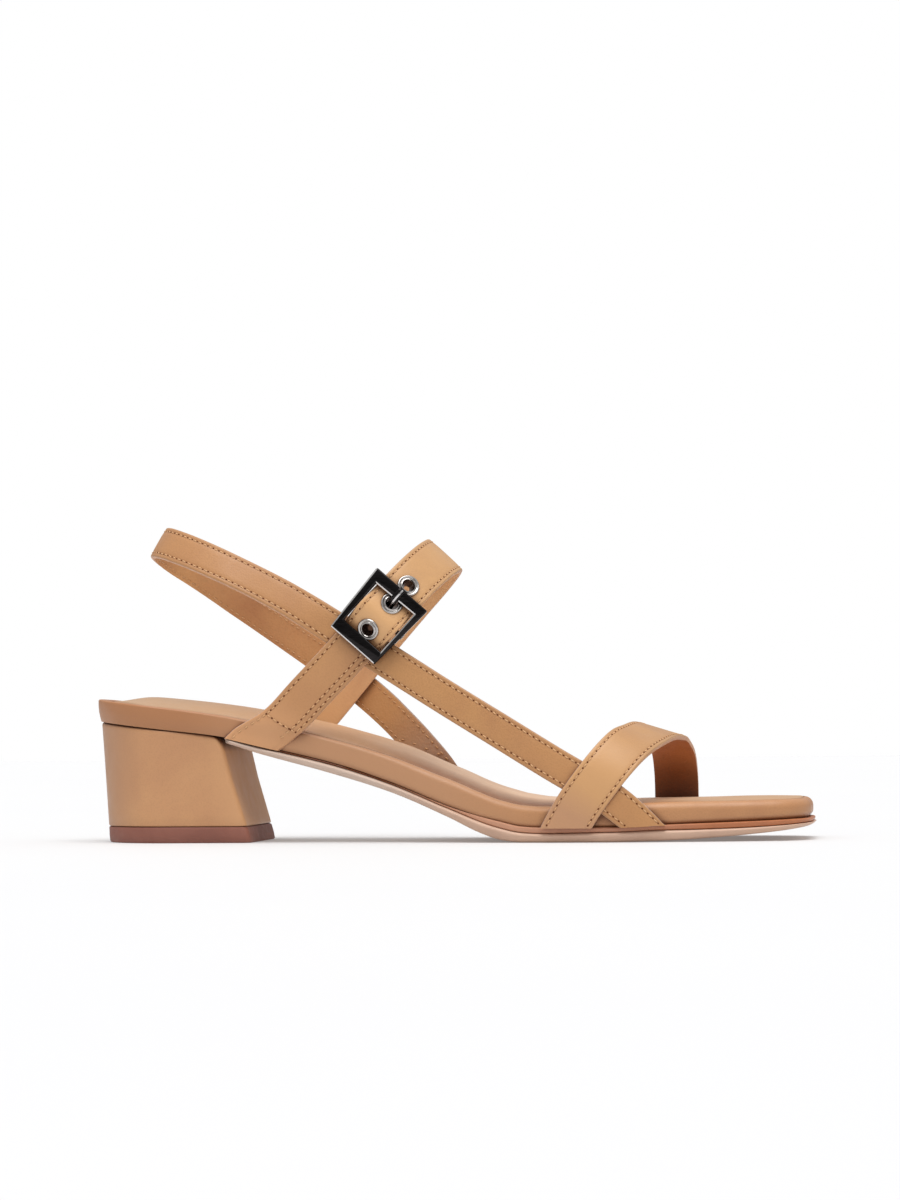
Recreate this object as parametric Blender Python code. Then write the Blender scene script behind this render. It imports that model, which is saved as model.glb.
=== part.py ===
"""Low heel sandal for a right foot: wrapped footbed on a block heel, crossing straps and a buckle.

Metres, +Z up, +X towards the toe, +Y towards the inner side of the foot.
In the tables, along counts from the back of the heel, side from the heel's middle plane
(outer side negative) and height from the floor.
"""
import math

import bmesh
import bpy
from mathutils import Matrix, Vector

# Driving dimensions
SHOE_LENGTH = 0.2475
GAP = 0.0003
STRAP_THICKNESS = 0.0017
TOE_STRAP_WIDTH = 0.0154
SLING_WIDTH = 0.0116
QUARTER_WIDTH = 0.0148
INSTEP_WIDTH = 0.0148

# Sole edge and footbed
OUTSOLE_REACH = 0.0010
WELT_REACH = 0.0006
WELT_SHARE = 0.32
HEEL_ROUND = 0.026
HEEL_ROUND_POWER = 2.1
TOE_CORNER_LENGTH = 0.013
TOE_CORNER_WIDTH = 0.016
TOE_CORNER_POWER = 2.2
RIM_ROUND = 0.0020
RIM_WIDTH = 0.0032
RIM_DRAFT = 0.0002
SOCK_DEPTH = 0.0020
SOCK_EDGE_ROUND = 0.0012
SOCK_EDGE_DROP = 0.0004
EDGE_ROUND = 0.0007
EDGE_INSET = 0.0006
OUTSOLE_BULGE_HEIGHT = 0.0016
OUTSOLE_TOP_REACH = 0.0008

# Heel block, as sizes at its top and at the floor
LIFT_THICKNESS = 0.0055
HEEL_BACK = (0.0016, 0.0045)
HEEL_HALF_WIDTH = (0.0282, 0.0258)
BREAST_AT_FLOOR = 0.0576
BREAST_SLOPE = 0.27
BREAST_CORNER = 0.0020
HEEL_MIDDLE_ALONG = 0.026
BREAST_TOP_ALONG = 0.048
HEEL_SEAT_GAP = 0.00035
HEEL_BACK_POINTS = 8
HEEL_CORNER_POINTS = 3
# How far below its top each ring of the heel lies, and how far its rounded front edge is set back
HEEL_RINGS = ((0.0000, 0.0022), (0.0008, 0.0010), (0.0030, 0.0000), (0.0140, 0.0000))

# Sole sections: half widths, height of the wall's foot on the outer side, wall height, how much
# higher the inner side lies, crown of the padded sock, and underside of the outsole
SOLE_COLUMNS = ("along", "lateral", "medial", "feather", "wall", "rise", "crown", "bottom")
SOLE_SECTIONS = (
    (0.0000, 0.0290, 0.0290, 0.0419, 0.0076, 0.0000, 0.0012, 0.0380),
    (0.0100, 0.0290, 0.0290, 0.0407, 0.0076, 0.0000, 0.0026, 0.0373),
    (0.0260, 0.0290, 0.0290, 0.0388, 0.0076, 0.0000, 0.0031, 0.0360),
    (0.0460, 0.0295, 0.0290, 0.0364, 0.0072, 0.0004, 0.0033, 0.0332),
    (0.0600, 0.0285, 0.0270, 0.0332, 0.0075, 0.0014, 0.0031, 0.0295),
    (0.0850, 0.0285, 0.0240, 0.0272, 0.0077, 0.0026, 0.0027, 0.0233),
    (0.1050, 0.0305, 0.0228, 0.0206, 0.0084, 0.0026, 0.0027, 0.0169),
    (0.1250, 0.0338, 0.0255, 0.0126, 0.0088, 0.0016, 0.0025, 0.0084),
    (0.1360, 0.0359, 0.0286, 0.0090, 0.0078, 0.0009, 0.0026, 0.0031),
    (0.1430, 0.0370, 0.0305, 0.0072, 0.0070, 0.0005, 0.0030, 0.0008),
    (0.1500, 0.0380, 0.0325, 0.0056, 0.0070, 0.0002, 0.0029, 0.0000),
    (0.1570, 0.0387, 0.0345, 0.0052, 0.0069, 0.0000, 0.0025, 0.0000),
    (0.1780, 0.0393, 0.0392, 0.0052, 0.0070, 0.0000, 0.0016, 0.0000),
    (0.2000, 0.0372, 0.0402, 0.0060, 0.0064, 0.0000, 0.0016, 0.0004),
    (0.2220, 0.0337, 0.0380, 0.0067, 0.0058, 0.0000, 0.0019, 0.0014),
    (0.2380, 0.0300, 0.0345, 0.0073, 0.0054, 0.0000, 0.0019, 0.0029),
    (0.2475, 0.0275, 0.0320, 0.0077, 0.0052, 0.0000, 0.0019, 0.0044),
)

# Sling strap, from under the outer sole edge round the heel to the inner arch.
# lean is how far its upper edge tips in towards the leg, in degrees
SLING_COLUMNS = ("along", "side", "height", "lean")
SLING_PATH = (
    (0.2000, -0.0384, -0.0006, 0),
    (0.1916, -0.0397, 0.0059, 0),
    (0.1780, -0.0404, 0.0162, 3),
    (0.1600, -0.0392, 0.0271, 6),
    (0.1430, -0.0370, 0.0376, 4),
    (0.1260, -0.0342, 0.0480, 3),
    (0.1020, -0.0309, 0.0631, 4),
    (0.0880, -0.0302, 0.0718, 6),
    (0.0700, -0.0290, 0.0829, 20),
    (0.0460, -0.0254, 0.0950, 28),
    (0.0325, -0.0180, 0.1006, 30),
    (0.0248, -0.0095, 0.1033, 30),
    (0.0219, 0.0000, 0.1036, 30),
    (0.0252, 0.0100, 0.1002, 30),
    (0.0330, 0.0182, 0.0940, 30),
    (0.0460, 0.0248, 0.0837, 26),
    (0.0666, 0.0283, 0.0687, 14),
    (0.0835, 0.0289, 0.0562, 5),
    (0.0970, 0.0281, 0.0448, 2),
    (0.1068, 0.0266, 0.0342, 0),
    (0.1126, 0.0260, 0.0262, 0),
    (0.1185, 0.0272, 0.0162, 0),
)

# Toe strap, from under the outer sole edge over the ball to the inner edge.
# pitch is how steeply its width falls towards the toe, in degrees
TOE_COLUMNS = ("along", "side", "height", "pitch")
TOE_PATH = (
    (0.1630, -0.0408, 0.0002, 30),
    (0.1658, -0.0409, 0.0056, 30),
    (0.1693, -0.0413, 0.0116, 31),
    (0.1740, -0.0415, 0.0182, 32),
    (0.1792, -0.0402, 0.0250, 31),
    (0.1850, -0.0335, 0.0318, 28),
    (0.1908, -0.0185, 0.0363, 22),
    (0.1943, 0.0020, 0.0376, 18),
    (0.1964, 0.0200, 0.0354, 12),
    (0.1977, 0.0325, 0.0290, 6),
    (0.1980, 0.0396, 0.0196, 2),
    (0.1980, 0.0416, 0.0115, 0),
    (0.1980, 0.0416, 0.0056, 0),
    (0.1980, 0.0414, 0.0002, 0),
)

# Quarter and instep straps lie in one slanted plane through the buckle.
# slide runs up that plane from the buckle's middle, side is across the foot, and drift is
# out of the plane, towards toe and floor
BUCKLE_ALONG = 0.1023
BUCKLE_HEIGHT = 0.0764
STRAP_PLANE_ANGLE = math.radians(47.1)
PLANE_COLUMNS = ("slide", "side", "drift")
QUARTER_PATH = (
    (-0.0760, -0.0305, -0.0036),
    (-0.0620, -0.0305, -0.0028),
    (-0.0493, -0.0303, -0.0014),
    (-0.0368, -0.0305, -0.0010),
    (-0.0240, -0.0312, -0.0002),
    (-0.0146, -0.03165, -0.0001),
    (-0.0060, -0.03165, 0.0000),
    (0.0007, -0.03165, 0.0000),
)
INSTEP_PATH = (
    (-0.0123, -0.0330, -0.0004),
    (-0.0085, -0.0330, -0.0004),
    (-0.0048, -0.0345, -0.0004),
    (0.0000, -0.0363, -0.0004),
    (0.0048, -0.0345, -0.0005),
    (0.0088, -0.0328, -0.0007),
    (0.0130, -0.0311, -0.0008),
    (0.0178, -0.0275, -0.0009),
    (0.0238, -0.0192, -0.0009),
    (0.0275, -0.0080, -0.0009),
    (0.0282, 0.0020, -0.0009),
    (0.0255, 0.0130, -0.0009),
    (0.0185, 0.0215, -0.0009),
    (0.0080, 0.0260, -0.0009),
    (-0.0080, 0.0273, -0.0008),
    (-0.0276, 0.0275, -0.0004),
    (-0.0450, 0.0278, 0.0000),
    (-0.0580, 0.0285, 0.0000),
    (-0.0720, 0.0290, 0.0000),
)

# Buckle, in the slanted plane: across the strap, along it, and out from the foot
BUCKLE_WIDTH = 0.0222
BUCKLE_LENGTH = 0.0255
BUCKLE_OPENING_WIDTH = 0.0164
BUCKLE_OPENING_LENGTH = 0.0175
BUCKLE_BACK = 0.0342
BUCKLE_THICKNESS = 0.0020
BUCKLE_EDGE = 0.0005
LUG_LENGTH = 0.0030
LUG_DEPTH = 1.3
BAR_RADIUS = 0.0009
BAR_OUT = 0.0329
LOOP_RADIUS = 0.0022
LOOP_WIDTH = 0.0140
HUB_RADIUS = 0.0019
HUB_WIDTH = 0.0030
SLOT_BACK = 0.0021
PRONG_WIDTH = 0.0024
PRONG_THICKNESS = 0.0012
PRONG_SIDES = 10
PRONG_TIP_SHARE = 0.6
PRONG_COLUMNS = ("slide", "out")
PRONG_PATH = (
    (0.0012, 0.0329),
    (0.0034, 0.0330),
    (0.0050, 0.0338),
    (0.0064, 0.0354),
    (0.0078, 0.0367),
    (0.0096, 0.0372),
    (0.0114, 0.0372),
    (0.0129, 0.0368),
)

# Eyelets, by their distance along the instep strap's slide
EYELET_SLIDES = (-0.0050, 0.0050, 0.0150)
EYELET_FLANGE_RADIUS = 0.0035
EYELET_BARREL_RADIUS = 0.0026
EYELET_HOLE_RADIUS = 0.0022
EYELET_FLANGE_THICKNESS = 0.0004
EYELET_EDGE = 0.0003

# Mesh fineness
SOLE_COLUMN_COUNT = 6
HEEL_ROW_COUNT = 6
MIDDLE_ROW_COUNT = 26
TOE_ROW_COUNT = 5
ROUND_SIDES = 20
SLING_SEGMENTS = 66
QUARTER_SEGMENTS = 20
INSTEP_SEGMENTS = 48
TOE_STRAP_SEGMENTS = 40
END_ROWS = 2.5
SEARCH_STEPS = 40
SHARP_ANGLE = math.radians(35.0)
SAME_PLACE = 1e-6

# Colours, roughness and metallic value of each finish
FINISHES = {
    "tan_leather": ((0.60, 0.33, 0.155, 1.0), 0.42, 0.0),
    "sock_leather": ((0.62, 0.42, 0.27, 1.0), 0.50, 0.0),
    "welt_brown": ((0.40, 0.17, 0.085, 1.0), 0.50, 0.0),
    "sole_beige": ((0.62, 0.40, 0.29, 1.0), 0.55, 0.0),
    "lift_rubber": ((0.24, 0.095, 0.068, 1.0), 0.65, 0.0),
    "dark_nickel": ((0.06, 0.055, 0.055, 1.0), 0.18, 1.0),
}


def rows_as_dicts(columns, rows):
    return [dict(zip(columns, row)) for row in rows]


def smooth_table(columns, rows, key, wanted, x):
    """Value of a column at x, on a curve through the rows that never overshoots them."""
    xs = [row[columns.index(key)] for row in rows]
    ys = [row[columns.index(wanted)] for row in rows]
    x = min(max(x, xs[0]), xs[-1])
    i = max(k for k in range(len(xs) - 1) if xs[k] <= x)
    steps = [(ys[k + 1] - ys[k]) / (xs[k + 1] - xs[k]) for k in range(len(xs) - 1)]

    def slope(k):
        if k == 0:
            return steps[0]
        if k == len(xs) - 1:
            return steps[-1]
        before, after = steps[k - 1], steps[k]
        return 0.0 if before * after <= 0.0 else 2.0 * before * after / (before + after)

    width = xs[i + 1] - xs[i]
    t = (x - xs[i]) / width
    rise = t * t * (3.0 - 2.0 * t)
    return (ys[i] * (1.0 - rise) + ys[i + 1] * rise
            + width * t * (1.0 - t) * (slope(i) * (1.0 - t) - slope(i + 1) * t))


def sole(column, along):
    return smooth_table(SOLE_COLUMNS, SOLE_SECTIONS, "along", column, along)


def place(along, side, height):
    """World position, with the origin under the middle of the shoe."""
    return Vector((along - SHOE_LENGTH / 2.0, side, height))


# Heights of the layers


def across(along, side):
    lateral, medial = sole("lateral", along), sole("medial", along)
    return min(max((side + lateral) / (lateral + medial), 0.0), 1.0)


def inner_rise(along, side):
    return sole("rise", along) * across(along, side)


def feather_height(along, side):
    """Foot of the footbed's wall."""
    return sole("feather", along) + inner_rise(along, side)


def rim_height(along, side):
    return feather_height(along, side) + sole("wall", along)


def bottom_height(along, side):
    return sole("bottom", along) + inner_rise(along, side)


def split_height(along, side):
    """Line between outsole and welt."""
    low = bottom_height(along, side)
    return low + (1.0 - WELT_SHARE) * (feather_height(along, side) - low)


def breast_along(height):
    """Front face of the heel block at a height."""
    return BREAST_AT_FLOOR - BREAST_SLOPE * height


# Plan outline of the sole


def plan_half_width(column, along, front):
    half = sole(column, along)
    if along < HEEL_ROUND:
        rest = 1.0 - along / HEEL_ROUND
        return half * (1.0 - rest ** HEEL_ROUND_POWER) ** (1.0 / HEEL_ROUND_POWER)
    corner = (along - (front - TOE_CORNER_LENGTH)) / TOE_CORNER_LENGTH
    if corner > 0.0:
        bend = (1.0 - min(corner, 1.0) ** TOE_CORNER_POWER) ** (1.0 / TOE_CORNER_POWER)
        return half - TOE_CORNER_WIDTH * (1.0 - bend)
    return half


def plan_stations(start, front):
    """Along positions of the rows, closer together where the outline turns."""
    stations = []
    middle_start = start
    if start < HEEL_ROUND:
        for i in range(HEEL_ROW_COUNT):
            stations.append(HEEL_ROUND * (1.0 - math.cos(0.5 * math.pi * i / HEEL_ROW_COUNT)))
        middle_start = HEEL_ROUND
    corner_start = front - TOE_CORNER_LENGTH
    for i in range(MIDDLE_ROW_COUNT):
        stations.append(middle_start + (corner_start - middle_start) * i / MIDDLE_ROW_COUNT)
    for i in range(TOE_ROW_COUNT + 1):
        stations.append(corner_start + TOE_CORNER_LENGTH * math.sin(0.5 * math.pi * i / TOE_ROW_COUNT))
    return stations


def sole_outline(start, front):
    """Outline points counter-clockwise from the back, and how many rows it has."""
    stations = plan_stations(start, front)
    closed_back = start < HEEL_ROUND
    last = len(stations) - 1
    outer = [(x, -plan_half_width("lateral", x, front)) for x in stations]
    inner = [(x, plan_half_width("medial", x, front)) for x in stations]
    fractions = [j / SOLE_COLUMN_COUNT for j in range(1, SOLE_COLUMN_COUNT)]
    tip = [(front, outer[last][1] + f * (inner[last][1] - outer[last][1])) for f in fractions]
    back = []
    if closed_back:
        inner = inner[1:]
    else:
        back = [(start, inner[0][1] + f * (outer[0][1] - inner[0][1])) for f in fractions]
    return outer + tip + inner[::-1] + back, last


def inset_outline(points, distance, fixed_back):
    """Outline moved in along its own normals; a straight back edge keeps its place."""
    moved = []
    count = len(points)
    start = points[0][0]
    for i, (x, y) in enumerate(points):
        before, after = points[i - 1], points[(i + 1) % count]
        if fixed_back and abs(x - start) < SAME_PLACE:
            moved.append((x, y - math.copysign(distance, y) if i in (0, count - SOLE_COLUMN_COUNT) else y))
            continue
        tangent = Vector((after[0] - before[0], after[1] - before[1])).normalized()
        moved.append((x - tangent.y * distance, y + tangent.x * distance))
    return moved


def sole_layer(name, start, front, profile, floor_height, top_height, finish):
    """Closed layer of the sole: rings of its side from below, then the two surfaces.

    profile lists (inset, height function) for each ring of the side, from below.
    """
    outline, last = sole_outline(start, front)
    closed_back = start < HEEL_ROUND
    columns = SOLE_COLUMN_COUNT
    mesh = bmesh.new()
    rings = []
    for inset, height in profile:
        ring = []
        for along, side in inset_outline(outline, inset, not closed_back):
            level = height(along, side)
            if not closed_back and abs(along - start) < SAME_PLACE:
                along = breast_along(level) + GAP
            ring.append(mesh.verts.new(place(along, side, level)))
        rings.append(ring)
    count = len(outline)
    for low, high in zip(rings, rings[1:]):
        for i in range(count):
            j = (i + 1) % count
            mesh.faces.new((low[i], low[j], high[j], high[i]))

    def surface(ring, height, upward):
        rows = []
        for i in range(last + 1):
            if i == last:
                row = ring[last:last + columns + 1]
            elif i == 0 and closed_back:
                row = [ring[0]] * (columns + 1)
            elif i == 0:
                row = [ring[0]] + ring[count - columns + 1:][::-1] + [ring[count - columns]]
            else:
                outer = ring[i]
                inner = ring[last + columns + last - i]
                row = [outer]
                for j in range(1, columns):
                    spot = outer.co.lerp(inner.co, j / columns)
                    spot.z = height(spot.x + SHOE_LENGTH / 2.0, spot.y)
                    row.append(mesh.verts.new(spot))
                row.append(inner)
            rows.append(row)
        for near, far in zip(rows, rows[1:]):
            for j in range(columns):
                corners = [near[j], far[j], far[j + 1], near[j + 1]]
                if corners[0] == corners[3]:
                    corners.pop()
                mesh.faces.new(corners if upward else corners[::-1])

    surface(rings[0], floor_height, False)
    surface(rings[-1], top_height, True)
    return finish_object(name, mesh, finish)


# Objects and booleans


def material(finish):
    existing = bpy.data.materials.get(finish)
    if existing:
        return existing
    colour, roughness, metallic = FINISHES[finish]
    made = bpy.data.materials.new(finish)
    made.use_nodes = True
    shader = made.node_tree.nodes["Principled BSDF"]
    shader.inputs["Base Color"].default_value = colour
    shader.inputs["Roughness"].default_value = roughness
    shader.inputs["Metallic"].default_value = metallic
    return made


def finish_object(name, mesh, finish):
    data = bpy.data.meshes.new(name)
    bmesh.ops.recalc_face_normals(mesh, faces=mesh.faces)
    mesh.to_mesh(data)
    mesh.free()
    data.materials.append(material(finish))
    data.shade_smooth()
    data.set_sharp_from_angle(angle=SHARP_ANGLE)
    made = bpy.data.objects.new(name, data)
    bpy.context.collection.objects.link(made)
    return made


def combine(target, tool, operation):
    """Apply an exact boolean to the target and take the tool away."""
    modifier = target.modifiers.new(operation.lower(), "BOOLEAN")
    modifier.operation = operation
    modifier.solver = "EXACT"
    modifier.object = tool
    graph = bpy.context.evaluated_depsgraph_get()
    result = bpy.data.meshes.new_from_object(target.evaluated_get(graph))
    target.modifiers.clear()
    target.data = result
    bpy.data.objects.remove(tool)


def loft(rings, name, finish):
    """Closed solid through rings of equal point count, with flat ends."""
    mesh = bmesh.new()
    loops = [[mesh.verts.new(point) for point in ring] for ring in rings]
    for near, far in zip(loops, loops[1:]):
        for i in range(len(near)):
            j = (i + 1) % len(near)
            mesh.faces.new((near[i], near[j], far[j], far[i]))
    mesh.faces.new(loops[0][::-1])
    mesh.faces.new(loops[-1])
    return finish_object(name, mesh, finish)


# Straps


class StrapPath:
    """Smooth middle line of a strap, with its width and outward directions."""

    def __init__(self, points, angles, width_rule, width):
        self.points = points
        self.angles = angles
        self.width_rule = width_rule
        self.width = width

    def at(self, u):
        """Middle point, direction and table angle at u, which counts rows."""
        last = len(self.points) - 1
        i = min(max(int(math.floor(u)), 0), last - 1)
        t = u - i
        p1, p2 = self.points[i], self.points[i + 1]
        p0 = self.points[i - 1] if i > 0 else p1 * 2.0 - p2
        p3 = self.points[i + 2] if i + 2 <= last else p2 * 2.0 - p1
        s1, s2 = chord_slopes(p0, p1, p2, p3)
        point = (p1 * (1 + 2 * t) * (1 - t) ** 2 + s1 * t * (1 - t) ** 2
                 + p2 * t * t * (3 - 2 * t) - s2 * t * t * (1 - t))
        direction = (p1 * (6 * t * t - 6 * t) + s1 * (1 - t) * (1 - 3 * t)
                     + p2 * (6 * t - 6 * t * t) + s2 * t * (3 * t - 2))
        angle = self.angles[i] + (self.angles[i + 1] - self.angles[i]) * t * t * (3 - 2 * t)
        return point, direction.normalized(), angle

    def frame(self, u):
        """Middle point, width direction and outward direction."""
        point, direction, angle = self.at(u)
        wide = self.width_rule(direction, math.radians(angle))
        wide = (wide - direction * wide.dot(direction)).normalized()
        return point, wide, wide.cross(direction).normalized()

    def spot(self, u, v):
        point, wide, outward = self.frame(u)
        return point + wide * (0.5 * v * self.width), outward


def chord_slopes(p0, p1, p2, p3):
    """End slopes of the span p1 to p2, weighted by the chords so that uneven rows stay smooth."""
    d0, d1, d2 = (p1 - p0).length, (p2 - p1).length, (p3 - p2).length
    s1 = ((p1 - p0) / d0 * d1 + (p2 - p1) / d1 * d0) / (d0 + d1)
    s2 = ((p2 - p1) / d1 * d2 + (p3 - p2) / d2 * d1) / (d1 + d2)
    return s1 * d1, s2 * d1


def leaning(direction, angle):
    """Width points up and tips in over the foot."""
    outward = Vector((-direction.y, direction.x, 0.0)).normalized()
    return Vector((0.0, 0.0, math.cos(angle))) - outward * math.sin(angle)


def pitched(direction, angle):
    """Width points to the toe and falls with the instep."""
    return Vector((math.cos(angle), 0.0, -math.sin(angle)))


def in_strap_plane(across_strap, slide, out):
    """World point from the buckle's own directions."""
    along = BUCKLE_ALONG + math.cos(STRAP_PLANE_ANGLE) * slide + math.sin(STRAP_PLANE_ANGLE) * across_strap
    height = BUCKLE_HEIGHT + math.sin(STRAP_PLANE_ANGLE) * slide - math.cos(STRAP_PLANE_ANGLE) * across_strap
    return place(along, -out, height)


def table_path(columns, rows, rule, width):
    table = rows_as_dicts(columns, rows)
    points = [place(row["along"], row["side"], row["height"]) for row in table]
    return StrapPath(points, [row[columns[3]] for row in table], rule, width)


def plane_path(rows, width):
    table = rows_as_dicts(PLANE_COLUMNS, rows)
    points = [in_strap_plane(row["drift"], row["slide"], -row["side"]) for row in table]
    pitch = 90.0 - math.degrees(STRAP_PLANE_ANGLE)
    return StrapPath(points, [pitch] * len(points), pitched, width)


def sole_crossing(path, v, inside, outside):
    """Row value where a strap's line at v meets the foot of the footbed's wall."""
    for _ in range(SEARCH_STEPS):
        middle = 0.5 * (inside + outside)
        spot, _ = path.spot(middle, v)
        if spot.z > feather_height(spot.x + SHOE_LENGTH / 2.0, spot.y):
            inside = middle
        else:
            outside = middle
    return inside


def strap(path, segments, first_at_sole, last_at_sole, name):
    """Solid strap with its ends cut along the sole where they meet it."""
    last = len(path.points) - 1
    lines = (-1.0, 0.0, 1.0)
    starts = [sole_crossing(path, v, END_ROWS, 0.0) if first_at_sole else 0.0 for v in lines]
    ends = [sole_crossing(path, v, last - END_ROWS, last) if last_at_sole else last for v in lines]
    rings = []
    for k in range(segments + 1):
        inner, outer = [], []
        for v, start, end in zip(lines, starts, ends):
            spot, outward = path.spot(start + (end - start) * k / segments, v)
            inner.append(spot - outward * STRAP_THICKNESS / 2.0)
            outer.append(spot + outward * STRAP_THICKNESS / 2.0)
        rings.append(inner + outer[::-1])
    return loft(rings, name, "tan_leather")


# Buckle pieces


def buckle_matrix(across_strap, slide, out):
    """Placement with x across the strap, y along it and z out from the foot."""
    origin = in_strap_plane(across_strap, slide, out)
    x_axis = (in_strap_plane(across_strap + 1.0, slide, out) - origin).normalized()
    y_axis = (in_strap_plane(across_strap, slide + 1.0, out) - origin).normalized()
    turn = Matrix((x_axis, y_axis, x_axis.cross(y_axis))).transposed()
    return Matrix.Translation(origin) @ turn.to_4x4()


def box(size, matrix, name, finish):
    mesh = bmesh.new()
    bmesh.ops.create_cube(mesh, size=1.0)
    bmesh.ops.scale(mesh, vec=size, verts=mesh.verts)
    bmesh.ops.transform(mesh, matrix=matrix, verts=mesh.verts)
    return finish_object(name, mesh, finish)


def rod(radius, length, matrix, name, finish):
    """Cylinder along the matrix's z axis."""
    mesh = bmesh.new()
    bmesh.ops.create_cone(mesh, cap_ends=True, segments=ROUND_SIDES, radius1=radius, radius2=radius,
                          depth=length)
    bmesh.ops.transform(mesh, matrix=matrix, verts=mesh.verts)
    return finish_object(name, mesh, finish)


def across_bar(radius, length, name, finish, slide=0.0):
    """Cylinder across the strap, on the centre bar's axis."""
    turn = Matrix.Rotation(math.pi / 2.0, 4, "Y")
    return rod(radius, length, buckle_matrix(0.0, slide, BAR_OUT) @ turn, name, finish)


def build_buckle_frame():
    mesh = bmesh.new()
    outer = (BUCKLE_WIDTH / 2.0, BUCKLE_LENGTH / 2.0)
    inner = (BUCKLE_OPENING_WIDTH / 2.0, BUCKLE_OPENING_LENGTH / 2.0)
    signs = ((-1, -1), (1, -1), (1, 1), (-1, 1))
    outer_ring = [mesh.verts.new((sx * outer[0], sy * outer[1], 0.0)) for sx, sy in signs]
    inner_ring = [mesh.verts.new((sx * inner[0], sy * inner[1], 0.0)) for sx, sy in signs]
    faces = []
    for i in range(4):
        j = (i + 1) % 4
        faces.append(mesh.faces.new((outer_ring[i], outer_ring[j], inner_ring[j], inner_ring[i])))
    raised = bmesh.ops.extrude_face_region(mesh, geom=faces, use_keep_orig=True)
    top = [item for item in raised["geom"] if isinstance(item, bmesh.types.BMVert)]
    bmesh.ops.translate(mesh, vec=(0.0, 0.0, BUCKLE_THICKNESS), verts=top)
    bmesh.ops.recalc_face_normals(mesh, faces=mesh.faces)
    sharp = [edge for edge in mesh.edges if edge.calc_face_angle(0.0) > SHARP_ANGLE]
    bmesh.ops.bevel(mesh, geom=sharp, offset=BUCKLE_EDGE, segments=2, profile=0.5, affect="EDGES",
                    material=-1)
    bmesh.ops.transform(mesh, matrix=buckle_matrix(0.0, 0.0, BUCKLE_BACK), verts=mesh.verts)
    frame = finish_object("buckle_frame", mesh, "dark_nickel")
    middle = (BUCKLE_WIDTH + BUCKLE_OPENING_WIDTH) / 4.0
    combine(frame, across_bar(BAR_RADIUS, 2.0 * middle, "bar", "dark_nickel"), "UNION")
    lug_top = BUCKLE_BACK + BUCKLE_THICKNESS / 2.0
    lug_low = BAR_OUT - LUG_DEPTH * BAR_RADIUS
    lug_size = (BUCKLE_WIDTH / 2.0 - BUCKLE_OPENING_WIDTH / 2.0 - 2 * GAP, LUG_LENGTH, lug_top - lug_low)
    for side in (-1, 1):
        lug = box(lug_size, buckle_matrix(side * middle, 0.0, 0.5 * (lug_top + lug_low)), "lug", "dark_nickel")
        combine(frame, lug, "UNION")
    return frame


def build_prong():
    """Flat-sided prong swept from its hub, through the middle eyelet, over the frame's bar."""
    table = rows_as_dicts(PRONG_COLUMNS, PRONG_PATH)
    centres = [(row["slide"], row["out"]) for row in table]
    rings = []
    for i, (slide, out) in enumerate(centres):
        before, after = centres[max(i - 1, 0)], centres[min(i + 1, len(centres) - 1)]
        tilt = math.atan2(after[1] - before[1], after[0] - before[0])
        thin = PRONG_TIP_SHARE if i == len(centres) - 1 else 1.0
        ring = []
        for k in range(PRONG_SIDES):
            turn = 2.0 * math.pi * (k + 0.5) / PRONG_SIDES
            wide = 0.5 * PRONG_WIDTH * thin * math.cos(turn)
            thick = 0.5 * PRONG_THICKNESS * thin * math.sin(turn)
            ring.append(in_strap_plane(wide, slide - thick * math.sin(tilt), out + thick * math.cos(tilt)))
        rings.append(ring)
    prong = loft(rings, "buckle_prong", "dark_nickel")
    combine(prong, across_bar(HUB_RADIUS, HUB_WIDTH, "hub", "dark_nickel"), "UNION")
    combine(prong, across_bar(BAR_RADIUS + GAP, 2.0 * HUB_WIDTH, "hub_bore", "dark_nickel"), "DIFFERENCE")
    return prong


def eyelet_seat(path, slide):
    """Point and outward direction where an eyelet sits on the instep strap."""
    slides = [row["slide"] for row in rows_as_dicts(PLANE_COLUMNS, INSTEP_PATH)]
    low, high = 0.0, float(slides.index(max(slides)))
    target = in_strap_plane(0.0, slide, 0.0)
    up = (in_strap_plane(0.0, 1.0, 0.0) - in_strap_plane(0.0, 0.0, 0.0)).normalized()
    for _ in range(SEARCH_STEPS):
        middle = 0.5 * (low + high)
        if (path.spot(middle, 0.0)[0] - target).dot(up) < 0.0:
            low = middle
        else:
            high = middle
    return path.spot(low, 0.0)


def eyelet_matrix(spot, outward):
    return Matrix.Translation(spot) @ outward.to_track_quat("Z", "X").to_matrix().to_4x4()


def build_eyelet(name, spot, outward):
    """Turned eyelet: barrel through the strap and a flange on its outer face."""
    half = STRAP_THICKNESS / 2.0
    flange_low = half + GAP
    flange_top = flange_low + EYELET_FLANGE_THICKNESS
    profile = (
        (EYELET_HOLE_RADIUS, -half),
        (EYELET_BARREL_RADIUS, -half),
        (EYELET_BARREL_RADIUS, flange_low),
        (EYELET_FLANGE_RADIUS, flange_low),
        (EYELET_FLANGE_RADIUS - EYELET_EDGE, flange_top),
        (EYELET_HOLE_RADIUS + EYELET_EDGE, flange_top),
        (EYELET_HOLE_RADIUS, flange_top - EYELET_EDGE),
    )
    mesh = bmesh.new()
    verts = [mesh.verts.new((radius, 0.0, height)) for radius, height in profile]
    edges = [mesh.edges.new((verts[i - 1], verts[i])) for i in range(len(verts))]
    bmesh.ops.spin(mesh, geom=verts + edges, axis=(0, 0, 1), cent=(0, 0, 0), angle=2.0 * math.pi,
                   steps=ROUND_SIDES, use_merge=True)
    bmesh.ops.remove_doubles(mesh, verts=mesh.verts, dist=SAME_PLACE)
    bmesh.ops.transform(mesh, matrix=eyelet_matrix(spot, outward), verts=mesh.verts)
    return finish_object(name, mesh, "dark_nickel")


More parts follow.
